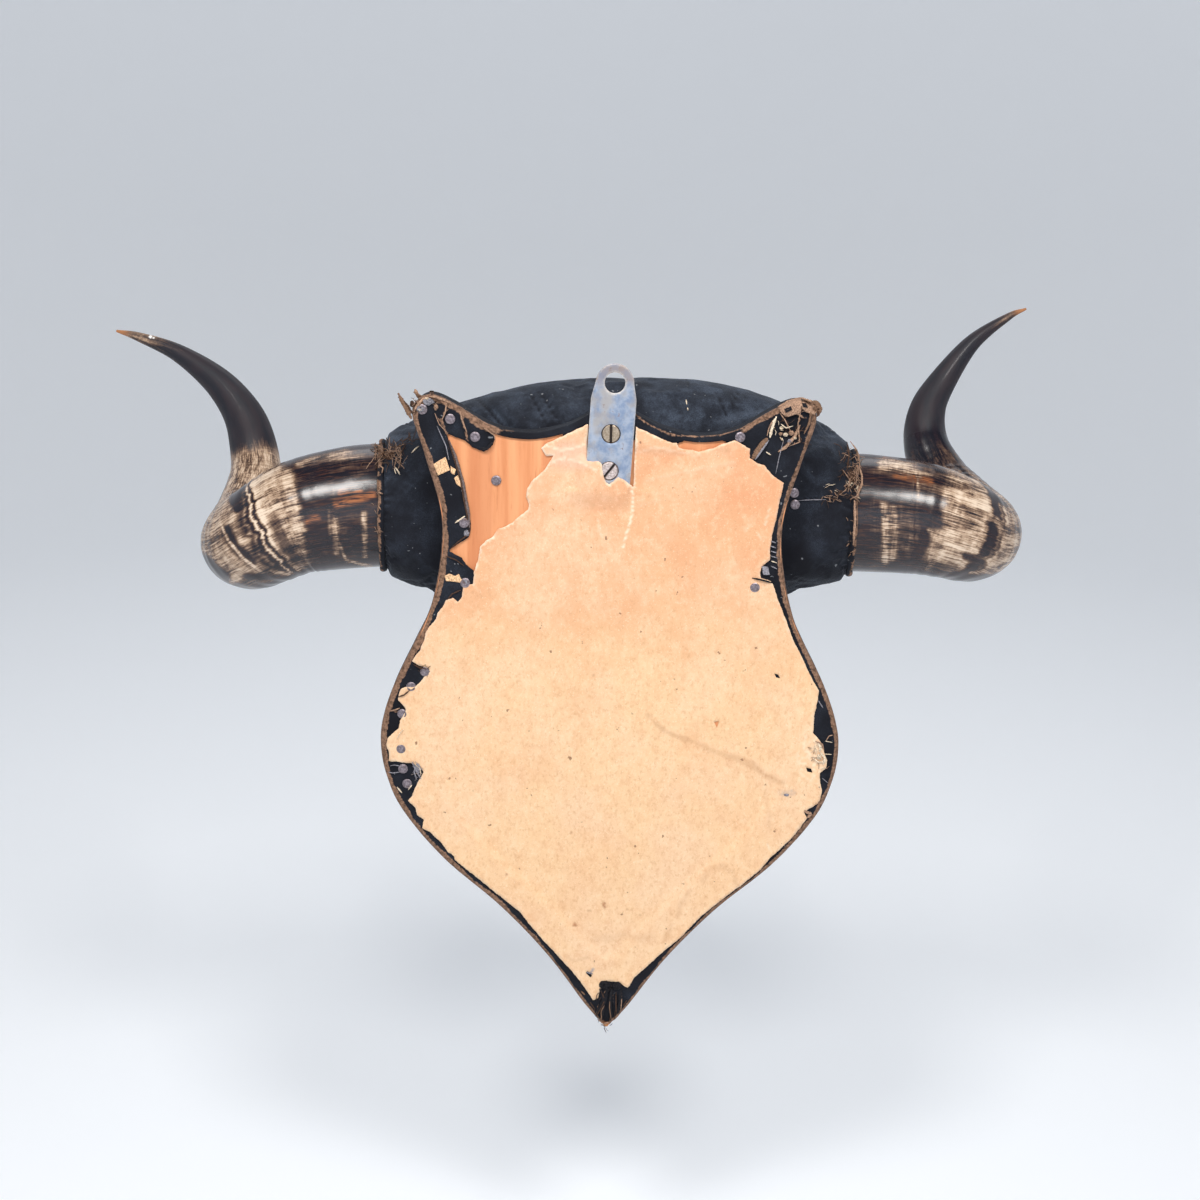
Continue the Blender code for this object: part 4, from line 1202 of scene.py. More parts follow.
def make_horn(side):
    """Rings along the horn's line, with growth ridges and the marks that the photo shows."""
    line = HORN_LINES[side]
    centres = line[:, :3]
    length = np.concatenate([[0], np.cumsum(np.linalg.norm(np.diff(centres, axis=0), axis=1))])
    across = np.array([0.0, 1.0, 0.0])
    rings, fibre, along_values, angle_values = [], [], [], []
    angles = np.arange(HORN_SIDES) * math.tau / HORN_SIDES
    for index, centre in enumerate(centres):
        along = centres[min(index + 1, len(centres) - 1)] - centres[max(index - 1, 0)]
        along /= np.linalg.norm(along)
        across = across - along * across.dot(along)
        across /= np.linalg.norm(across)
        up = np.cross(along, across)
        spokes = np.cos(angles)[:, None] * across + np.sin(angles)[:, None] * up
        radius = line[index][3]
        rings.append(centre + spokes * radius)
        round_it = np.stack([np.cos(angles), np.sin(angles)], axis=1) * (6 + 0.75 * radius)
        fibre.append(np.concatenate([round_it, np.full((HORN_SIDES, 1), length[index])], axis=1))
        along_values.append(np.full(HORN_SIDES, length[index]))
        angle_values.append(np.degrees(angles))
    spokes_all = np.concatenate([ring - centre for ring, centre in zip(rings, centres)])
    spokes_all /= np.maximum(np.linalg.norm(spokes_all, axis=1, keepdims=True), 1e-9)
    points = np.concatenate(rings)
    fibre = np.concatenate(fibre)
    along = np.concatenate(along_values)
    around = np.concatenate(angle_values)
    thick = np.repeat(line[:, 3], HORN_SIDES)
    grow = 0.14 * np.sin(along * 0.9 + 2.0 * noise_values(fibre, 0.05, 31)) * smooth_step(40, 75, along)
    grow *= smooth_step(210, 120, along)
    grow += 0.30 * noise_values(fibre, 0.03, 32)
    grow += 0.05 * noise_values(fibre * np.array([1, 1, 0.1]), 0.5, 33)
    points = points + spokes_all * (grow * np.minimum(1.0, thick / 20))[:, None]
    # Painted shade: the pale bands fade towards dark on the horn's underside
    under = angle_share(around, HORN_SHADED_UNDERSIDE[side], 58)
    underside_painted_shade = -0.55 * under * smooth_step(30, 60, along) * smooth_step(150, 110, along)
    pixels = to_photo(points)
    facing = (spokes_all * (points - EYE)).sum(1) < 0
    facing &= along < 125
    mark_share = np.zeros(len(points))
    mark_pale = np.full(len(points), 0.5)
    for mark, half_width, level in HORN_MARKS_PHOTO[side]:
        share = smooth_step(1.75, 0.25, line_distance(pixels, mark) / half_width) * facing
        mark_pale = np.where(share > 0.02, mark_pale * (1 - share) + level * share, mark_pale)
        mark_share = np.maximum(mark_share, share)
    red = np.zeros(len(points))
    for streak, half_width in HORN_RED_PHOTO[side]:
        share = smooth_step(1.4, 0.3, line_distance(pixels, streak) / half_width)
        red = np.maximum(red, share * facing)
    chip = np.zeros(len(points))
    for centre, radius in HORN_CHIPS_PHOTO[side]:
        chip = np.maximum(chip, ellipse(pixels, centre, radius, radius) * (along > 200))
    tip_start = length[-1] - 12
    values = {
        "along": along, "fibre": fibre, "underside_painted_shade": underside_painted_shade, "mark_share": mark_share,
        "mark_pale": mark_pale, "red": red, "matte": 0.6 * smooth_step(185, 215, along),
        "warm": smooth_step(110, 60, along), "chip": chip,
        "tip": 0.8 * smooth_step(tip_start, tip_start + 9, along),
    }
    faces = capped_band(len(rings), HORN_SIDES)
    finish = horn_finish(side, float(length[-1]))
    piece = add_piece("steer_horn_" + side, points, faces, finish, values)
    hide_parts("horn_" + side)
    return piece


# Padded centre

BOSS_CREASES_PHOTO = [
    ([(478, 398), (488, 408), (498, 420), (508, 431)], 3.2, -1.5),
    ([(532, 396), (538, 407), (545, 420), (551, 430)], 2.2, -1.3),
    ([(541, 392), (549, 405), (556, 416), (563, 428)], 2.2, -1.4),
    ([(494, 396), (507, 413), (521, 428)], 4.5, 0.7), ([(547, 390), (556, 404), (563, 415)], 2.5, 0.7),
    ([(717, 392), (722, 403), (727, 415)], 2.6, -1.0),
    ([(738, 392), (734, 400), (731, 410)], 2.2, -1.0),
    ([(688, 378), (688, 400), (688, 436)], 1.5, -1.3),
    ([(801, 500), (815, 498), (835, 499)], 1.6, -1.1),
]


def cuff_lean(side, y):
    """How far the cuff's plane leans outward at a depth."""
    return math.copysign(CUFF_LEAN, CUFFS[side][0]) * (y - BOSS_AXIS)


def boss_ring(side, station, sides):
    """One slice across the padded centre. Station 0 is the middle, and 1 is the cuff."""
    cuff_x, cuff_radius = CUFFS[side]
    swell = 1 - station ** BOSS_SWELL
    pinch = CUFF_ROUND * smooth_step(0.97, 1.0, station)
    half_height = cuff_radius + (BOSS_HALF_HEIGHT - cuff_radius) * swell - pinch
    half_depth = cuff_radius + (BOSS_DEPTH - cuff_radius) * swell - pinch
    middle_z = CUFF_Z + (BOSS_MIDDLE_Z - CUFF_Z + BOSS_FLANK_RISE[side] * station) * swell
    angles = np.arange(sides) * math.tau / sides
    y = np.maximum(BOSS_BACK, BOSS_AXIS + half_depth * np.cos(angles))
    lean = np.array([cuff_lean(side, depth) for depth in y])
    x = cuff_x * station + lean * station ** 4
    return np.stack([x, y, middle_z + half_height * np.sin(angles)], axis=1)


def socket_rings(side, sides):
    """The inside of the cuff, down to where the horn's base sits."""
    cuff_x, _ = CUFFS[side]
    inward = math.copysign(SOCKET_DEPTH, cuff_x)
    radius = HORNS[side][0][3] + SOCKET_CLEAR
    angles = np.arange(sides) * math.tau / sides
    rings = []
    for x in (cuff_x - inward, cuff_x - inward * 0.08, cuff_x):
        centre = horn_at(side, x)
        y = centre[1] + radius * np.cos(angles)
        lean = np.array([cuff_lean(side, depth) for depth in y])
        rings.append(np.stack([x + lean, y, centre[2] + radius * np.sin(angles)], axis=1))
    return rings


def boss_grid(steps, sides):
    """Slices from the left cuff to the right one, as rows of a grid."""
    stations = [math.sin(t * math.pi / 2) ** 0.9 for t in np.linspace(1.0, 0.004, steps)]
    rings = [boss_ring("left", station, sides) for station in stations]
    rings += [boss_ring("right", station, sides) for station in reversed(stations)]
    return np.array(rings)


def smoothed(grid, rounds):
    """A grid of moves with its fine part averaged away."""
    for _ in range(rounds):
        grid = (np.roll(grid, 1, axis=1) + np.roll(grid, -1, axis=1) + grid * 2) / 4
        inner = (grid[:-2] + grid[2:] + grid[1:-1] * 2) / 4
        grid = np.concatenate([grid[:1], inner, grid[-1:]])
    return grid


def slack_velvet():
    """Moves of velvet pulled over the stuffing, from a cloth simulation on a coarse grid."""
    grid = boss_grid(SIM_STEPS, SIM_SIDES)
    rows = len(grid)
    flat = grid.reshape(-1, 3) * MM
    mesh = bpy.data.meshes.new("velvet_trial")
    mesh.from_pydata(flat.tolist(), [], band(rows, SIM_SIDES))
    trial = bpy.data.objects.new("velvet_trial", mesh)
    bpy.context.scene.collection.objects.link(trial)
    held = trial.vertex_groups.new(name="held")
    row = np.repeat(np.arange(rows), SIM_SIDES)
    stitched = (row < 2) | (row > rows - 3) | (grid.reshape(-1, 3)[:, 1] < BOSS_BACK + 1.0)
    held.add(np.where(stitched)[0].tolist(), 1.0, "REPLACE")
    cloth = trial.modifiers.new("cloth", "CLOTH")
    settings = cloth.settings
    settings.quality = SIM_QUALITY
    settings.mass = SIM_MASS
    settings.vertex_group_mass = "held"
    settings.use_pressure = True
    settings.uniform_pressure_force = SIM_PRESSURE
    settings.shrink_min = SIM_SLACK
    settings.shrink_max = SIM_SLACK
    settings.bending_stiffness = SIM_STIFFNESS
    settings.effector_weights.gravity = 0.0
    for step in range(1, SIM_FRAMES + 1):
        bpy.context.scene.frame_set(step)
    settled = trial.evaluated_get(bpy.context.evaluated_depsgraph_get()).to_mesh()
    moved = np.empty(len(flat) * 3, np.float32)
    settled.vertices.foreach_get("co", moved)
    moves = (moved.reshape(-1, 3) - flat).reshape(grid.shape) / MM
    bpy.data.objects.remove(trial)
    bpy.data.meshes.remove(mesh)
    bpy.context.scene.frame_set(1)
    moves -= smoothed(moves, SIM_SMOOTHING)
    size = np.linalg.norm(moves, axis=2, keepdims=True)
    return moves * np.minimum(1.0, SIM_CAP / np.maximum(size, 1e-9))


def spread_moves(moves, rows, sides):
    """The same moves read at the places of a finer grid."""
    row = np.linspace(0, len(moves) - 1.001, rows)
    column = np.arange(sides) * moves.shape[1] / sides
    low_row, low_column = row.astype(int), column.astype(int)
    a, b = (row - low_row)[:, None, None], (column - low_column)[None, :, None]
    next_column = (low_column + 1) % moves.shape[1]
    upper = moves[low_row][:, low_column] * (1 - b) + moves[low_row][:, next_column] * b
    lower = moves[low_row + 1][:, low_column] * (1 - b) + moves[low_row + 1][:, next_column] * b
    return upper * (1 - a) + lower * a


def make_boss(finish):
    """The padded centre, closed by a socket at each horn, with creases, dust, and painted shade and sheen
    along the creases.
    """
    sides = BOSS_SIDES
    grid = boss_grid(BOSS_STEPS, sides)
    grid = grid + spread_moves(slack_velvet(), len(grid), sides)
    rings = socket_rings("left", sides) + list(grid) + socket_rings("right", sides)[::-1]
    points = np.concatenate(rings)
    faces = capped_band(len(rings), sides)
    bm = bare_mesh(points, faces)
    bmesh.ops.recalc_face_normals(bm, faces=bm.faces)
    bm.normal_update()
    normals = np.array([v.normal[:] for v in bm.verts])
    bm.free()
    toward = points - EYE
    facing = (normals * toward).sum(1) < 0
    pixels = to_photo(points)
    free = smooth_step(BOSS_BACK + 0.2, BOSS_BACK + 6, points[:, 1])
    off_cuff = np.minimum(smooth_step(-137.5, -128, points[:, 0]),
                          smooth_step(144, 134, points[:, 0]))
    lift = np.zeros(len(points))
    crease_painted_shade = np.zeros(len(points))
    crease_painted_sheen = np.zeros(len(points))
    # Crease valleys get painted shade, and the flanks beside them painted sheen
    for line, wide, height in BOSS_CREASES_PHOTO:
        away = line_distance(pixels, line)
        lift += height * gauss(away, wide) * facing
        if height < 0:
            crease_painted_shade = np.maximum(crease_painted_shade, gauss(away, 0.45 * wide) * facing)
            crease_painted_sheen = np.maximum(crease_painted_sheen, gauss(away - wide, 0.5 * wide) * facing)
    lift += 0.8 * noise_values(points, 0.022, 41) + 0.28 * noise_values(points, 0.08, 42)
    folds = np.sin(points[:, 0] * 0.16 + points[:, 2] * 0.10 + 2.5 * noise_values(points, 0.02, 43))
    lift += 0.45 * folds * smooth_step(60, 100, points[:, 1])
    points = points + normals * (lift * free * off_cuff)[:, None]
    points[:, 1] = np.maximum(points[:, 1], BOSS_BACK)
    # Pale bloom: more on upward faces and with noise, plus painted sheen on raised folds and beside the
    # creases, and painted shade in the crease valleys
    upward = np.clip(normals[:, 2], 0, 1)
    dust_and_shading = 0.10 + 0.75 * upward + 0.4 * noise_values(points, 0.03, 44)
    dust_and_shading += 0.5 * np.clip(lift, 0, 1) + 0.55 * crease_painted_sheen * (0.4 + upward)
    dust_and_shading = np.clip(dust_and_shading, 0, 1) * (1 - crease_painted_shade)
    none = np.zeros(len(points))
    values = {"dust_and_shading": dust_and_shading, "worn": none, "wood": none}
    piece = add_piece("velvet_centre", points, faces, finish, values)
    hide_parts("velvet_boss")
    return piece


def make_cuff(side, finish):
    """The velvet's turned edge round the horn, with the pile worn off its crest."""
    cuff_x, _ = CUFFS[side]
    outward = math.copysign(1, cuff_x)
    sides, loops = CUFF_SIDES, CUFF_LOOPS
    points, worn = [], []
    for i in range(sides):
        angle = math.tau * i / sides
        spot = np.array([[math.cos(angle), math.sin(angle)]])
        bulge = 1 + 0.35 * flat_noise(spot, 5.0, 2, 1)[0]
        shift = 0.8 * flat_noise(spot, 3.0, 9, 1)[0]
        for j in range(loops):
            turn = math.tau * j / loops
            step = 1.7 + 1.9 * math.cos(turn) * bulge + shift * 0.5
            proud = 1.9 + 1.15 * math.sin(turn) * bulge
            centre = horn_at(side, cuff_x + outward * step)
            radius = centre[3] + proud
            y = centre[1] + radius * math.cos(angle)
            z = centre[2] + radius * math.sin(angle)
            points.append((cuff_x + outward * (GAP + step) + cuff_lean(side, y), y, z))
            worn.append(0.85 * max(0.0, math.cos(turn - 0.5)) + 0.1)
    faces = []
    for i in range(sides):
        for j in range(loops):
            a, b = i * loops, ((i + 1) % sides) * loops
            k = (j + 1) % loops
            faces.append([a + j, a + k, b + k, b + j])
    points = np.array(points)
    uneven = noise_values(points, 0.25, 51)
    worn = np.clip(np.array(worn) * (0.75 + uneven), 0, 1)
    values = {"worn": worn, "dust_and_shading": np.full(len(points), 0.5), "wood": np.zeros(len(points))}
    piece = add_piece("turned_cuff_" + side, points, faces, finish, values)
    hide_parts("cuff_braid_" + side)
    return piece


# Threads, scraps and lumps that stand on the cloth and the paper

TONES = [
    (0.0, (0.012, 0.012, 0.016)), (0.2, (0.075, 0.040, 0.026)), (0.4, (0.21, 0.125, 0.08)),
    (0.6, (0.40, 0.255, 0.175)), (0.7, (0.16, 0.125, 0.12)), (0.8, (0.27, 0.27, 0.31)),
    (0.9, (0.84, 0.54, 0.31)), (1.0, (0.80, 0.68, 0.52)),
]
BLACK, BROWN, RUST, TAN, DUSTY, GREY, KRAFT, CREAM = (tone for tone, _ in TONES)

# Each group: strips are tone, width in pixels, rise in millimetres, line. Lumps are tone,
# centre, half sizes in pixels, rise. Patches are tone, rise, corners. Tangles are tone,
# count, length in pixels, rise, and two or more points between which the threads lie.
FRAYS_PHOTO = {
    "left_ear_frays": {
        "strips": [
            (RUST, 4.2, 1.2, [(411.5, 419), (407, 410), (402, 401), (398.6, 394)]),
            (BROWN, 2.2, 1.6, [(413, 415), (408, 406), (401, 399), (398, 397)]),
            (TAN, 3.6, 1.4, [(419.8, 399), (417, 394), (414.8, 389)]),
            (RUST, 2.2, 1.8, [(424, 398), (419, 395), (413.5, 392)]),
            (TAN, 1.5, 1.5, [(446.3, 403), (445.5, 411), (442, 420)]),
            (TAN, 1.6, 1.7, [(460, 411.5), (462, 420), (467, 433)]),
            (TAN, 0.9, 1.9, [(434.7, 413), (439, 424), (446.3, 432)]),
            (GREY, 1.1, 1.2, [(437, 426), (446, 446), (449, 460)]),
            (TAN, 2.6, 1.0, [(413, 416), (416, 407), (423, 399), (434, 397), (444, 400), (452, 404)]),
            (BROWN, 1.6, 1.8, [(427, 397), (436, 399), (443, 404)]),
            (CREAM, 0.8, 1.0, [(411.5, 453), (419, 446)]), (CREAM, 1.6, 0.9, [(455, 523), (465, 516)]),
            (DUSTY, 2.8, 0.5, [(449, 440), (455, 455), (459, 468), (463, 482), (466, 500), (469, 515),
                (469.5, 528)]),
            (BROWN, 1.6, 0.9, [(448, 440), (453, 455), (457, 468), (461, 482), (464, 500), (467, 515),
                (468, 528)]),
            (BROWN, 1.4, 0.7, [(470, 528), (466, 536), (458, 542), (450, 549)]),
            (GREY, 2.4, 0.8, [(464, 579), (468, 584)]),
            (BLACK, 3.0, 1.0, [(480, 448), (487, 449), (494, 441)]),
            (TAN, 1.4, 0.8, [(484, 428), (494, 435), (495, 440)]),
        ],
        "lumps": [
            (GREY, (428, 401), (6.0, 4.4), 1.8), (CREAM, (427, 398.5), (2.4, 1.4), 2.2),
            (GREY, (420.6, 408.6), (4.2, 3.6), 1.6), (CREAM, (420, 410), (2.2, 1.6), 1.9),
            (BROWN, (431.8, 392.8), (2.6, 2.4), 1.4), (TAN, (436, 407), (2.2, 3.2), 1.4),
            (BROWN, (412, 404), (2.2, 3.4), 1.2), (GREY, (466.5, 533.5), (2.6, 3.4), 0.9),
            (TAN, (398.6, 394), (1.2, 1.2), 1.8),
        ],
        "patches": [
            (KRAFT, 0.5, [(433.4, 464.2), (445.5, 456.7), (450, 470), (438, 475.4)]),
            (KRAFT, 0.6, [(450.5, 466), (456, 469.5), (454.5, 475), (450.8, 473)]),
            (KRAFT, 0.6, [(454, 478), (458, 475), (461.5, 481), (462, 488), (456.5, 484)]),
            (KRAFT, 0.6, [(444.5, 576), (449, 573.5), (455, 576), (459, 574), (461, 579), (468, 580),
                (466, 584), (456, 582), (446, 581)]),
            (GREY, 0.6, [(462, 523), (466, 521), (467, 526), (464, 528)]),
        ],
        "tangles": [
            (TAN, 14, 7, 1.6, [(412, 402), (440, 400)]), (BROWN, 10, 6, 1.4, [(412, 398), (418, 410)]),
        ],
    },
    "right_ear_frays": {
        "strips": [
            (TAN, 3.4, 1.2, [(778, 407), (788, 402), (801, 398.5), (811, 402), (818.8, 416)]),
            (TAN, 2.6, 1.8, [(781, 412), (790, 406), (800, 404), (807, 409)]),
            (RUST, 2.4, 1.6, [(806, 408), (811, 414), (809, 424), (804, 434)]),
            (TAN, 1.2, 1.9, [(779.8, 413), (785, 420), (789.8, 429.8)]),
            (TAN, 1.1, 2.0, [(801.4, 407.4), (798, 424), (799.7, 442), (789, 446.3)]),
            (CREAM, 3.0, 1.3, [(776.5, 416.5), (774, 422), (771.5, 429.8), (769.8, 438)]),
            (TAN, 1.2, 1.8, [(773, 420), (769, 428), (767, 436)]),
            (RUST, 6.2, 0.9, [(767.4, 438), (760, 448), (752.4, 458.8)]),
            (GREY, 2.0, 1.4, [(769, 440), (762, 450), (755, 460)]),
            (GREY, 0.8, 1.0, [(783, 442), (779, 458), (775.7, 473.7)]),
            (TAN, 3.2, 0.9, [(800, 425), (795, 436), (786, 447), (778, 452)]),
            (RUST, 4.5, 1.0, [(811, 402), (817, 403), (820, 409), (818, 416)]),
            (BROWN, 2.4, 1.6, [(814, 404), (818.5, 409), (817, 417)]),
            (CREAM, 1.4, 0.7, [(766, 452), (771, 455)]),
            (TAN, 1.8, 1.4, [(792, 404), (795, 412), (804, 418)]),
            (CREAM, 1.2, 1.7, [(781, 424), (786, 428), (793, 426)]),
        ],
        "lumps": [
            (CREAM, (781.5, 428), (2.2, 2.0), 1.5), (TAN, (780.6, 434), (2.0, 1.8), 1.5),
            (CREAM, (785.6, 434.7), (2.6, 2.0), 1.4), (TAN, (791.4, 433), (2.8, 2.6), 1.6),
            (GREY, (789.8, 441.4), (2.8, 2.2), 1.5), (RUST, (817, 407.5), (4.2, 5.4), 2.0),
            (CREAM, (795, 438), (1.6, 1.6), 1.5),
        ],
        "patches": [
            (GREY, 0.9, [(762, 566), (768, 567), (770, 575), (763, 575)]),
            (TAN, 1.6, [(779, 408), (790, 401), (801, 397.5), (802, 404), (800, 413), (788, 417),
                (781, 413)]),
            (TAN, 1.8, [(803, 399), (811, 402), (817.5, 410), (815, 415), (806, 412), (802, 408)]),
            (BLACK, 2.1, [(784, 409), (791, 406), (792, 410), (786, 413)]),
            (BLACK, 2.1, [(802, 403), (806, 403), (808, 408), (803, 407)]),
        ],
        "tangles": [
            (TAN, 26, 8, 1.8, [(779, 409), (812, 404)]), (BROWN, 14, 8, 1.6, [(782, 420), (800, 440)]),
            (CREAM, 8, 6, 1.6, [(772, 420), (786, 440)]),
        ],
    },
    "right_edge_frays": {
        "strips": [
            (GREY, 1.2, 0.7, [(771, 541), (776, 543)]), (GREY, 1.2, 0.7, [(770.5, 546), (776, 548)]),
            (GREY, 1.2, 0.7, [(770.5, 551), (777, 553)]),
            (GREY, 1.2, 0.7, [(770.5, 556), (777.5, 558)]), (CREAM, 1.0, 0.8, [(771, 561), (777, 563)]),
            (GREY, 1.2, 0.7, [(771, 566), (777, 569)]),
            (BLACK, 1.8, 0.7, [(752, 578), (762, 580), (773, 583)]),
            (CREAM, 0.8, 0.9, [(825, 741), (832.7, 742.6)]),
            (CREAM, 0.8, 0.9, [(824, 754), (831.8, 754.5)]), (GREY, 0.8, 0.9, [(822, 778), (828, 783)]),
            (CREAM, 2.4, 1.0, [(818, 743), (821, 748), (819, 752)]),
            (CREAM, 2.0, 1.2, [(820, 752), (825, 758), (823, 765)]),
            (TAN, 1.6, 1.3, [(815, 741), (822, 744), (824, 751)]),
            (CREAM, 1.2, 1.2, [(812, 757), (818, 762), (824, 762)]),
            (GREY, 1.0, 0.8, [(818, 700), (823, 708)]),
            (TAN, 3.2, 0.8, [(804, 811), (811, 814), (807, 818)]),
            (TAN, 1.0, 1.0, [(826, 741), (829, 736), (833, 735)]),
        ],
        "lumps": [
            (CREAM, (819, 757), (2.4, 3.2), 1.3), (GREY, (786.5, 795), (2.6, 1.4), 0.5),
        ],
        "tangles": [
            (CREAM, 10, 6, 1.2, [(815, 742), (825, 765)]), (TAN, 8, 5, 1.0, [(812, 750), (822, 770)]),
        ],
    },
    "left_edge_frays": {
        "strips": [
            (TAN, 1.4, 1.0, [(390, 711), (395, 710), (400, 708)]),
            (CREAM, 1.4, 0.8, [(397, 787), (402, 793)]),
            (GREY, 0.9, 1.0, [(400, 766), (394, 765), (390, 766)]),
            (GREY, 0.9, 1.0, [(400, 772), (393, 773), (388, 772)]),
            (CREAM, 1.0, 1.0, [(408, 790), (412, 785)]),
            (GREY, 1.6, 1.0, [(412, 762), (416, 770), (421, 779)]),
            (CREAM, 1.0, 1.3, [(414, 764), (420, 768), (421, 776)]),
            (GREY, 1.2, 1.2, [(417, 763), (414, 772), (417, 780)]),
            (BROWN, 1.2, 0.8, [(413, 664), (420, 668), (429, 669)]),
            (BROWN, 1.4, 0.8, [(398, 697), (404, 695), (410, 690)]),
            (CREAM, 0.8, 0.9, [(404, 729), (400, 733), (397, 739)]),
            (BROWN, 1.4, 0.8, [(447, 600), (452, 594), (461, 590)]),
            (BROWN, 1.2, 0.8, [(446, 556), (456, 560), (464, 566)]),
        ],
        "lumps": [
            (GREY, (418, 769), (3.0, 5.0), 0.9),
        ],
        "tangles": [
            (GREY, 14, 5, 1.2, [(413, 763), (421, 779)]), (BROWN, 8, 5, 0.8, [(416, 668), (428, 670)]),
        ],
    },
    "left_cuff_frays": {
        "strips": [
            (CREAM, 1.4, 2.0, [(395, 467), (398, 471), (400, 475)]),
            (CREAM, 1.0, 2.4, [(394, 468), (396, 474)]),
            (CREAM, 1.0, 1.8, [(411.5, 453), (415, 449), (419, 446)]),
            (TAN, 1.4, 1.6, [(379, 465), (383, 468), (382, 473)]),
            (TAN, 1.4, 1.4, [(378, 492), (383, 494)]), (TAN, 1.0, 1.4, [(378, 505), (381, 510)]),
        ],
        "lumps": [
            (BROWN, (388, 455), (6.0, 5.0), 1.2),
        ],
        "tangles": [
            (TAN, 46, 11, 3.0, [(376, 452), (398, 450), (402, 462)]),
            (BROWN, 40, 12, 2.4, [(374, 460), (392, 448), (410, 444)]),
            (RUST, 26, 9, 3.4, [(378, 448), (396, 462)]), (TAN, 12, 5, 1.4, [(379, 480), (379, 560)]),
        ],
    },
    "right_cuff_frays": {
        "strips": [
            (TAN, 2.0, 1.6, [(850, 441), (856, 449), (858.6, 456), (859.4, 468), (862, 476),
                (862, 484), (857, 496), (850, 499.4)]),
            (BROWN, 1.6, 2.0, [(847, 442), (849, 456), (847, 471)]),
            (TAN, 1.0, 2.4, [(843, 470), (850, 480), (848, 492)]),
            (TAN, 2.6, 1.0, [(854.5, 500), (855, 520), (853.5, 545)]),
        ],
        "lumps": [
            (BROWN, (852, 476), (5.0, 8.0), 1.0),
        ],
        "tangles": [
            (TAN, 44, 10, 2.8, [(848, 452), (857, 470), (852, 492)]),
            (BROWN, 26, 9, 2.2, [(846, 446), (852, 498)]),
            (CREAM, 10, 6, 2.0, [(850, 478), (856, 496)]), (TAN, 26, 6, 1.6, [(826, 499), (848, 491)]),
            (BROWN, 14, 7, 1.4, [(828, 500), (848, 488)]), (TAN, 12, 4, 1.2, [(851, 505), (852, 555)]),
            (CREAM, 5, 3, 1.0, [(833, 482), (841, 497)]),
        ],
    },
    "point_frays": {
        "strips": [
            (BLACK, 3.4, 1.6, [(601, 990), (604, 999), (600, 1008), (596, 1016)]),
            (BROWN, 1.1, 2.2, [(601, 991), (605, 1000), (600, 1010), (595.6, 1016.7)]),
            (BLACK, 3.4, 1.8, [(608, 986), (605, 998), (602, 1010), (602, 1020)]),
            (RUST, 1.0, 2.4, [(605, 1004), (601, 1011.6), (601.7, 1020.8)]),
            (BLACK, 3.2, 1.6, [(612, 988), (610, 1000), (611, 1012), (611, 1020)]),
            (RUST, 1.0, 2.2, [(610.4, 993), (609.4, 1007.5), (611.4, 1021)]),
            (BROWN, 1.2, 2.0, [(616, 992), (616, 1004), (616, 1016)]),
            (BLACK, 3.0, 1.4, [(621, 990), (620, 1002), (617, 1014)]),
            (TAN, 0.9, 1.9, [(621.6, 992), (621.5, 1002), (620.6, 1012.7)]),
            (RUST, 1.4, 1.0, [(581, 991), (585, 995)]), (BROWN, 1.2, 1.2, [(590, 1002), (594, 1008)]),
            (TAN, 1.2, 0.8, [(597, 1019), (604, 1024), (612, 1021)]),
            (GREY, 1.2, 0.7, [(586, 972), (593, 974)]), (BROWN, 1.0, 1.0, [(627, 1000), (623, 1006)]),
        ],
        "lumps": [
            (BLACK, (606, 985), (7.0, 4.5), 1.6), (BLACK, (617, 986), (5.0, 4.0), 1.4),
        ],
        "patches": [
            (BLACK, 0.5, [(587.5, 971), (592, 975.5), (590.5, 977.5), (586, 973)]),
        ],
        "tangles": [
            (BROWN, 16, 6, 1.0, [(594, 1012), (606, 1024), (618, 1012)]),
            (BLACK, 14, 8, 1.8, [(598, 990), (620, 990)]),
        ],
    },
    "centre_frays": {
        "strips": [
            (CREAM, 1.4, 0.6, [(686, 399.5), (686.8, 404.5)]),
            (CREAM, 1.0, 0.6, [(687.6, 407.5), (688, 410.5)]),
            (GREY, 0.9, 0.6, [(798, 500.5), (812, 499.8), (826, 499.6)]),
        ],
    },
}
THREAD_RADIUS = 0.15
THREAD_SIDES, RIBBON_SIDES = 5, 8
RIBBON_THICK = 0.35
SCRAP_THICK = 0.25
SCRAP_SPACING = 0.9
LUMP_RINGS, LUMP_SIDES = 7, 22
# How far threads of a tangle stray from its line, in pixels, and how they curl, in radians
TANGLE_STRAY, TANGLE_BEND, TANGLE_WOBBLE = 2.6, 0.16, 0.14


class Ground:
    """Finds the surface that the photo's camera sees at a pixel."""

    def __init__(self, pieces):
        points, faces = [], []
        for piece in pieces:
            flat = np.empty(len(piece.data.vertices) * 3, np.float32)
            piece.data.vertices.foreach_get("co", flat)
            first = len(points)
            points += (flat.reshape(-1, 3) / MM).tolist()
            faces += [[first + i for i in face.vertices] for face in piece.data.polygons]
        self.tree = BVHTree.FromPolygons(points, faces)

    def lay(self, pixels, rises):
        """Points over the surface under each pixel, or beside it where the line leaves it."""
        depth = BOARD_BACK
        found = []
        for pixel, rise in zip(pixels, rises):
            aim = from_photo(pixel, 100.0)[0] - EYE
            aim /= np.linalg.norm(aim)
            hit = self.tree.ray_cast(Vector(EYE), Vector(aim))[0]
            if hit is None:
                point = from_photo(pixel, depth)[0]
            else:
                point = np.array(hit)
                depth = point[1]
            found.append(point - aim * rise)
        return np.array(found)


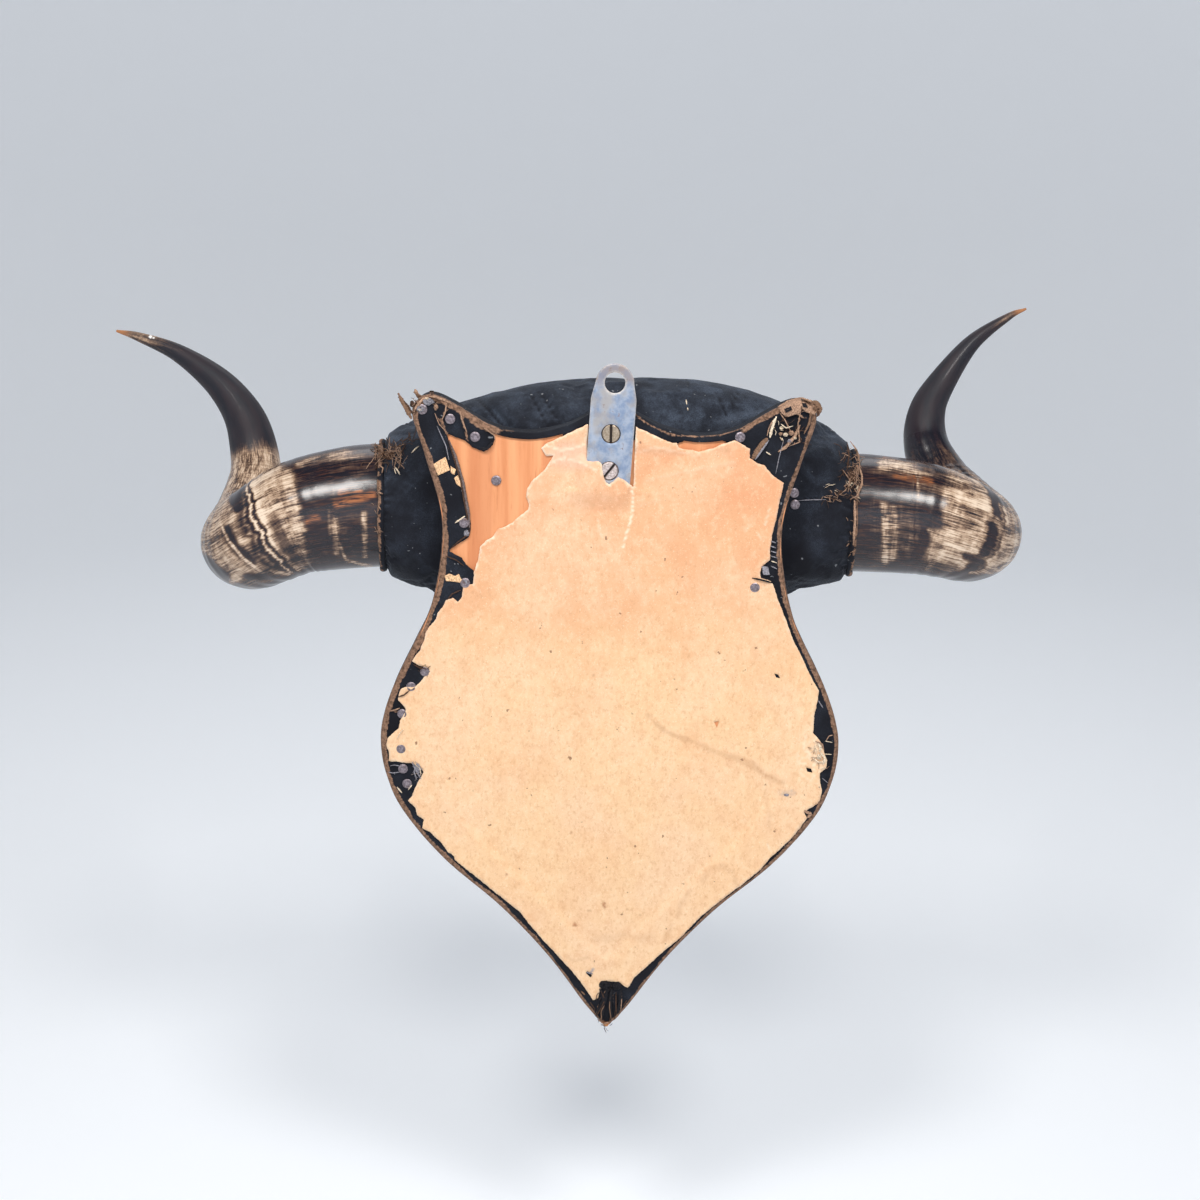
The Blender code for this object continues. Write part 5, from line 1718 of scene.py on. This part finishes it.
class Heap:
    """Collects the parts of one group into a single mesh."""

    def __init__(self):
        self.points, self.faces, self.tones = [], [], []

    def add(self, points, faces, tone):
        first = sum(len(part) for part in self.points)
        self.points.append(points)
        self.faces += [[first + i for i in face] for face in faces]
        self.tones.append(np.full(len(points), tone))

    def tube(self, line, radii, tone, flatness, sides):
        """A closed thread or strip along a line. Flatness squeezes it toward the surface."""
        line = np.asarray(line)
        along = np.gradient(line, axis=0)
        along /= np.maximum(np.linalg.norm(along, axis=1, keepdims=True), 1e-9)
        toward = EYE - line
        toward /= np.linalg.norm(toward, axis=1, keepdims=True)
        side = np.cross(along, toward)
        side /= np.maximum(np.linalg.norm(side, axis=1, keepdims=True), 1e-6)
        up = np.cross(side, along)
        rings = []
        for j in range(sides):
            turn = math.tau * j / sides
            rings.append(line + side * (radii * math.cos(turn))[:, None]
                         + up * (radii * flatness * math.sin(turn))[:, None])
        points = np.stack(rings, axis=1).reshape(-1, 3)
        self.add(points, capped_band(len(line), sides), tone)


def add_strip(heap, ground, strip, seed):
    """A crumpled ribbon of cloth, tapered at both ends."""
    tone, wide, rise, line = strip
    pixels = even_steps(line, 1.0)
    count = len(pixels)
    wave = flat_noise(pixels, 0.22, seed)
    share = np.linspace(0, 1, count)
    taper = np.minimum(1.0, 0.35 + 3.0 * np.minimum(share, 1 - share))
    points = ground.lay(pixels, rise * (0.55 + 0.45 * np.sin(share * math.pi)) + 0.35 * wave)
    pixel_size = np.linalg.norm(points - EYE, axis=1) / FOCAL_PIXELS
    radii = wide / 2 * pixel_size * taper * (1 + 0.35 * flat_noise(pixels, 0.6, seed + 1))
    thin = np.minimum(1.0, RIBBON_THICK / np.maximum(radii.mean(), 0.05))
    heap.tube(points, radii, tone, thin, RIBBON_SIDES)


def add_tangle(heap, ground, tangle, seed):
    """Loose curled threads scattered between some points."""
    tone, count, length, rise, line = tangle
    luck = random.Random(seed)
    spread = np.asarray(line, float)
    for _ in range(count):
        at = luck.random() * (len(spread) - 1)
        low = int(at)
        spot = spread[low] + (spread[min(low + 1, len(spread) - 1)] - spread[low]) * (at - low)
        spot = spot + np.array([luck.gauss(0, TANGLE_STRAY), luck.gauss(0, TANGLE_STRAY)])
        heading = luck.uniform(0, math.tau)
        bend = luck.uniform(-TANGLE_BEND, TANGLE_BEND)
        steps = max(5, int(length * luck.uniform(0.6, 1.5)))
        pixels = []
        for _ in range(steps):
            pixels.append(spot.copy())
            heading += bend + luck.gauss(0, TANGLE_WOBBLE)
            spot = spot + np.array([math.cos(heading), math.sin(heading)])
        share = np.linspace(0, 1, steps)
        high = luck.uniform(0.3, 1.0) * rise
        rises = 0.3 + high * np.sin(share * math.pi * luck.uniform(0.6, 1.2)) ** 2
        radius = THREAD_RADIUS * luck.uniform(0.7, 1.7)
        radii = np.full(steps, radius)
        radii[0] = radii[-1] = radius * 0.5
        own_tone = tone + luck.uniform(-0.04, 0.04)
        heap.tube(ground.lay(pixels, rises), radii, own_tone, 1.0, THREAD_SIDES)


def add_lump(heap, ground, lump, seed):
    """A small wad of cloth pressed onto the surface."""
    tone, centre, half, rise = lump
    flat, faces = disc(1.0, LUMP_RINGS, LUMP_SIDES)
    pixels = np.array(centre) + flat * np.array(half) * (1 + 0.22 * flat_noise(flat, 1.7, seed))[:, None]
    away = np.linalg.norm(flat, axis=1)
    dome = np.sqrt(np.maximum(0.0, 1 - away ** 2))
    rough = 1 + 0.9 * flat_noise(flat, 2.2, seed + 3)
    top = ground.lay(pixels, 0.15 + rise * dome * rough)
    base = ground.lay(pixels, np.full(len(flat), 0.05))
    points, faces = closed_sheet(top, faces, base)
    heap.add(points, faces, tone)


def add_patch(heap, ground, patch, seed):
    """A torn scrap of paper or cloth, slightly curled."""
    tone, rise, corners = patch
    edge = ragged(np.array(corners, float), 0.6, 0.4, seed)
    flat, faces = fill([edge], SCRAP_SPACING, seed)
    curl = 0.25 * flat_noise(flat, 0.25, seed + 5)
    top = ground.lay(flat, rise + curl)
    base = ground.lay(flat, rise + curl - SCRAP_THICK)
    points, faces = closed_sheet(top, faces, base)
    heap.add(points, faces, tone)


def fray_finish():
    """Loose fibres and scraps, each in its own tone."""
    f = Finish("frayed_fibres")
    place = f.place()
    fine = f.noise(place, 1400.0, 3.0, 0.65)
    made = f.tree.nodes.new("ShaderNodeValToRGB")
    f.put(made.inputs[0], f.value("tone"))
    elements = made.color_ramp.elements
    elements[0].position, elements[0].color = TONES[0][0], (*TONES[0][1], 1.0)
    elements[1].position, elements[1].color = TONES[-1][0], (*TONES[-1][1], 1.0)
    for position, colour in TONES[1:-1]:
        elements.new(position).color = (*colour, 1.0)
    shade = f.mix(f.span(fine, 0.3, 0.7), FIBRE_DARK, FIBRE_LIGHT)
    f.set(Base_Color=f.mix(1.0, made.outputs[0], shade, "MULTIPLY"))
    f.set(Roughness=0.85, Specular_IOR_Level=0.25)
    f.bump(fine, 0.6, 0.2)
    return f.material


def make_frays(ground, finish):
    """One mesh for each group of threads, scraps and lumps."""
    adders = {"strips": add_strip, "lumps": add_lump, "patches": add_patch, "tangles": add_tangle}
    for number, (name, group) in enumerate(FRAYS_PHOTO.items()):
        heap = Heap()
        for kind, adder in adders.items():
            for index, item in enumerate(group.get(kind, [])):
                adder(heap, ground, item, 100 * number + index + 1)
        points = np.concatenate(heap.points)
        tones = np.clip(np.concatenate(heap.tones), 0, 1)
        piece = add_piece(name, points, heap.faces, finish, {"tone": tones})


# Stage, in metres

FLOOR_Z = -0.62
FLOOR_RADIUS = 2.4
STAGE_RISE, STAGE_WALL = 1.6, 3.4
STAGE_BEND, STAGE_SIDES = 16, 96
LIGHT_AIM = (0.0, 0.03, -0.15)
KEY_COLOUR, FILL_COLOUR = (1.0, 0.975, 0.94), (0.95, 0.97, 1.0)
# Each light: place, aim, size, power and colour
LIGHTS = {
    "key_left": ((-0.38, -0.80, 0.95), LIGHT_AIM, (0.32, 0.32), 11.0, KEY_COLOUR),
    "key_right": ((0.38, -0.80, 0.95), LIGHT_AIM, (0.32, 0.32), 11.0, KEY_COLOUR),
    "fill_front": ((0.0, -2.2, 0.1), LIGHT_AIM, (1.6, 1.2), 7.0, FILL_COLOUR),
    "back_top": ((0.0, 1.4, 1.6), (0.0, 0.1, -0.1), (1.6, 1.0), 12.0, FILL_COLOUR),
}
WORLD_COLOUR, WORLD_STRENGTH = (0.80, 0.84, 0.90, 1.0), 0.16


def make_stage():
    """A flat round floor that rises into a wall all round."""
    profile = [(FLOOR_RADIUS, FLOOR_Z)]
    for i in range(1, STAGE_BEND + 1):
        turn = math.pi / 2 * i / STAGE_BEND
        profile.append((FLOOR_RADIUS + STAGE_RISE * math.sin(turn),
                        FLOOR_Z + STAGE_RISE * (1 - math.cos(turn))))
    profile.append((FLOOR_RADIUS + STAGE_RISE, FLOOR_Z + STAGE_WALL))
    turns = [math.tau * i / STAGE_SIDES for i in range(STAGE_SIDES)]
    points = [(radius * math.cos(a), radius * math.sin(a), z) for radius, z in profile for a in turns]
    faces = band(len(profile), STAGE_SIDES) + [list(range(STAGE_SIDES))]
    bm = bare_mesh(points, faces)
    mesh = bpy.data.meshes.new("studio_floor")
    bmesh.ops.recalc_face_normals(bm, faces=bm.faces)
    bm.to_mesh(mesh)
    bm.free()
    mesh.shade_smooth()
    floor = bpy.data.objects.new("studio_floor", mesh)
    bpy.context.scene.collection.objects.link(floor)
    f = Finish("studio_paper")
    f.set(Base_Color=STUDIO_PAPER, Roughness=0.9, Specular_IOR_Level=0.2)
    f.set(Emission_Color=STUDIO_GLOW, Emission_Strength=0.20)
    mesh.materials.append(f.material)


def add_light(name, place, aim, size, energy, colour):
    light = bpy.data.lights.new(name, "AREA")
    light.shape = "RECTANGLE"
    light.size, light.size_y = size
    light.energy = energy
    light.color = colour
    lamp = bpy.data.objects.new(name, light)
    bpy.context.scene.collection.objects.link(lamp)
    lamp.location = place
    lamp.rotation_euler = (Vector(aim) - Vector(place)).to_track_quat("-Z", "Y").to_euler()


def make_light():
    for name, (place, aim, size, power, colour) in LIGHTS.items():
        add_light(name, place, aim, size, power, colour)
    world = bpy.data.worlds.new("studio_world")
    world.use_nodes = True
    inputs = world.node_tree.nodes["Background"].inputs
    inputs["Color"].default_value = WORLD_COLOUR
    inputs["Strength"].default_value = WORLD_STRENGTH
    bpy.context.scene.world = world


def make_camera():
    """The camera of the photograph."""
    data = bpy.data.cameras.new("photo_camera")
    data.sensor_width = SENSOR
    data.lens = SENSOR * FOCAL_PIXELS / PHOTO_SIZE
    data.clip_start = 0.01
    camera = bpy.data.objects.new("photo_camera", data)
    bpy.context.scene.collection.objects.link(camera)
    turn = Matrix((RIGHT, UP, -FORWARD)).transposed().to_4x4()
    camera.matrix_world = Matrix.Translation(Vector(EYE * MM)) @ turn
    bpy.context.scene.camera = camera


def main():
    make_camera()
    make_stage()
    make_light()
    view = bpy.context.scene.view_settings
    view.view_transform = "Standard"
    velvet, boss_velvet = (velvet_finish(name, *look) for name, look in VELVET_LOOKS.items())
    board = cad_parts["shield_board"]
    board.data.materials.clear()
    board.data.materials.append(wood_finish())
    cloth = make_velvet(velvet)
    paper = make_paper(paper_finish())
    make_plate(steel_finish())
    looks = {name: screw_finish(name, *tones) for name, tones in HEAD_TONES.items()}
    for name, (place, slot_turn) in SCREWS.items():
        make_screw(name, place, slot_turn, looks[name])
    for number in range(1, NAIL_COUNT + 1):
        make_nail("nail_%02d" % number, looks["nail_steel"], number)
    seen = [board, cloth, paper, make_boss(boss_velvet)]
    for side in ("left", "right"):
        seen += [make_horn(side), make_cuff(side, velvet)]
    make_frays(Ground(seen), fray_finish())


main()
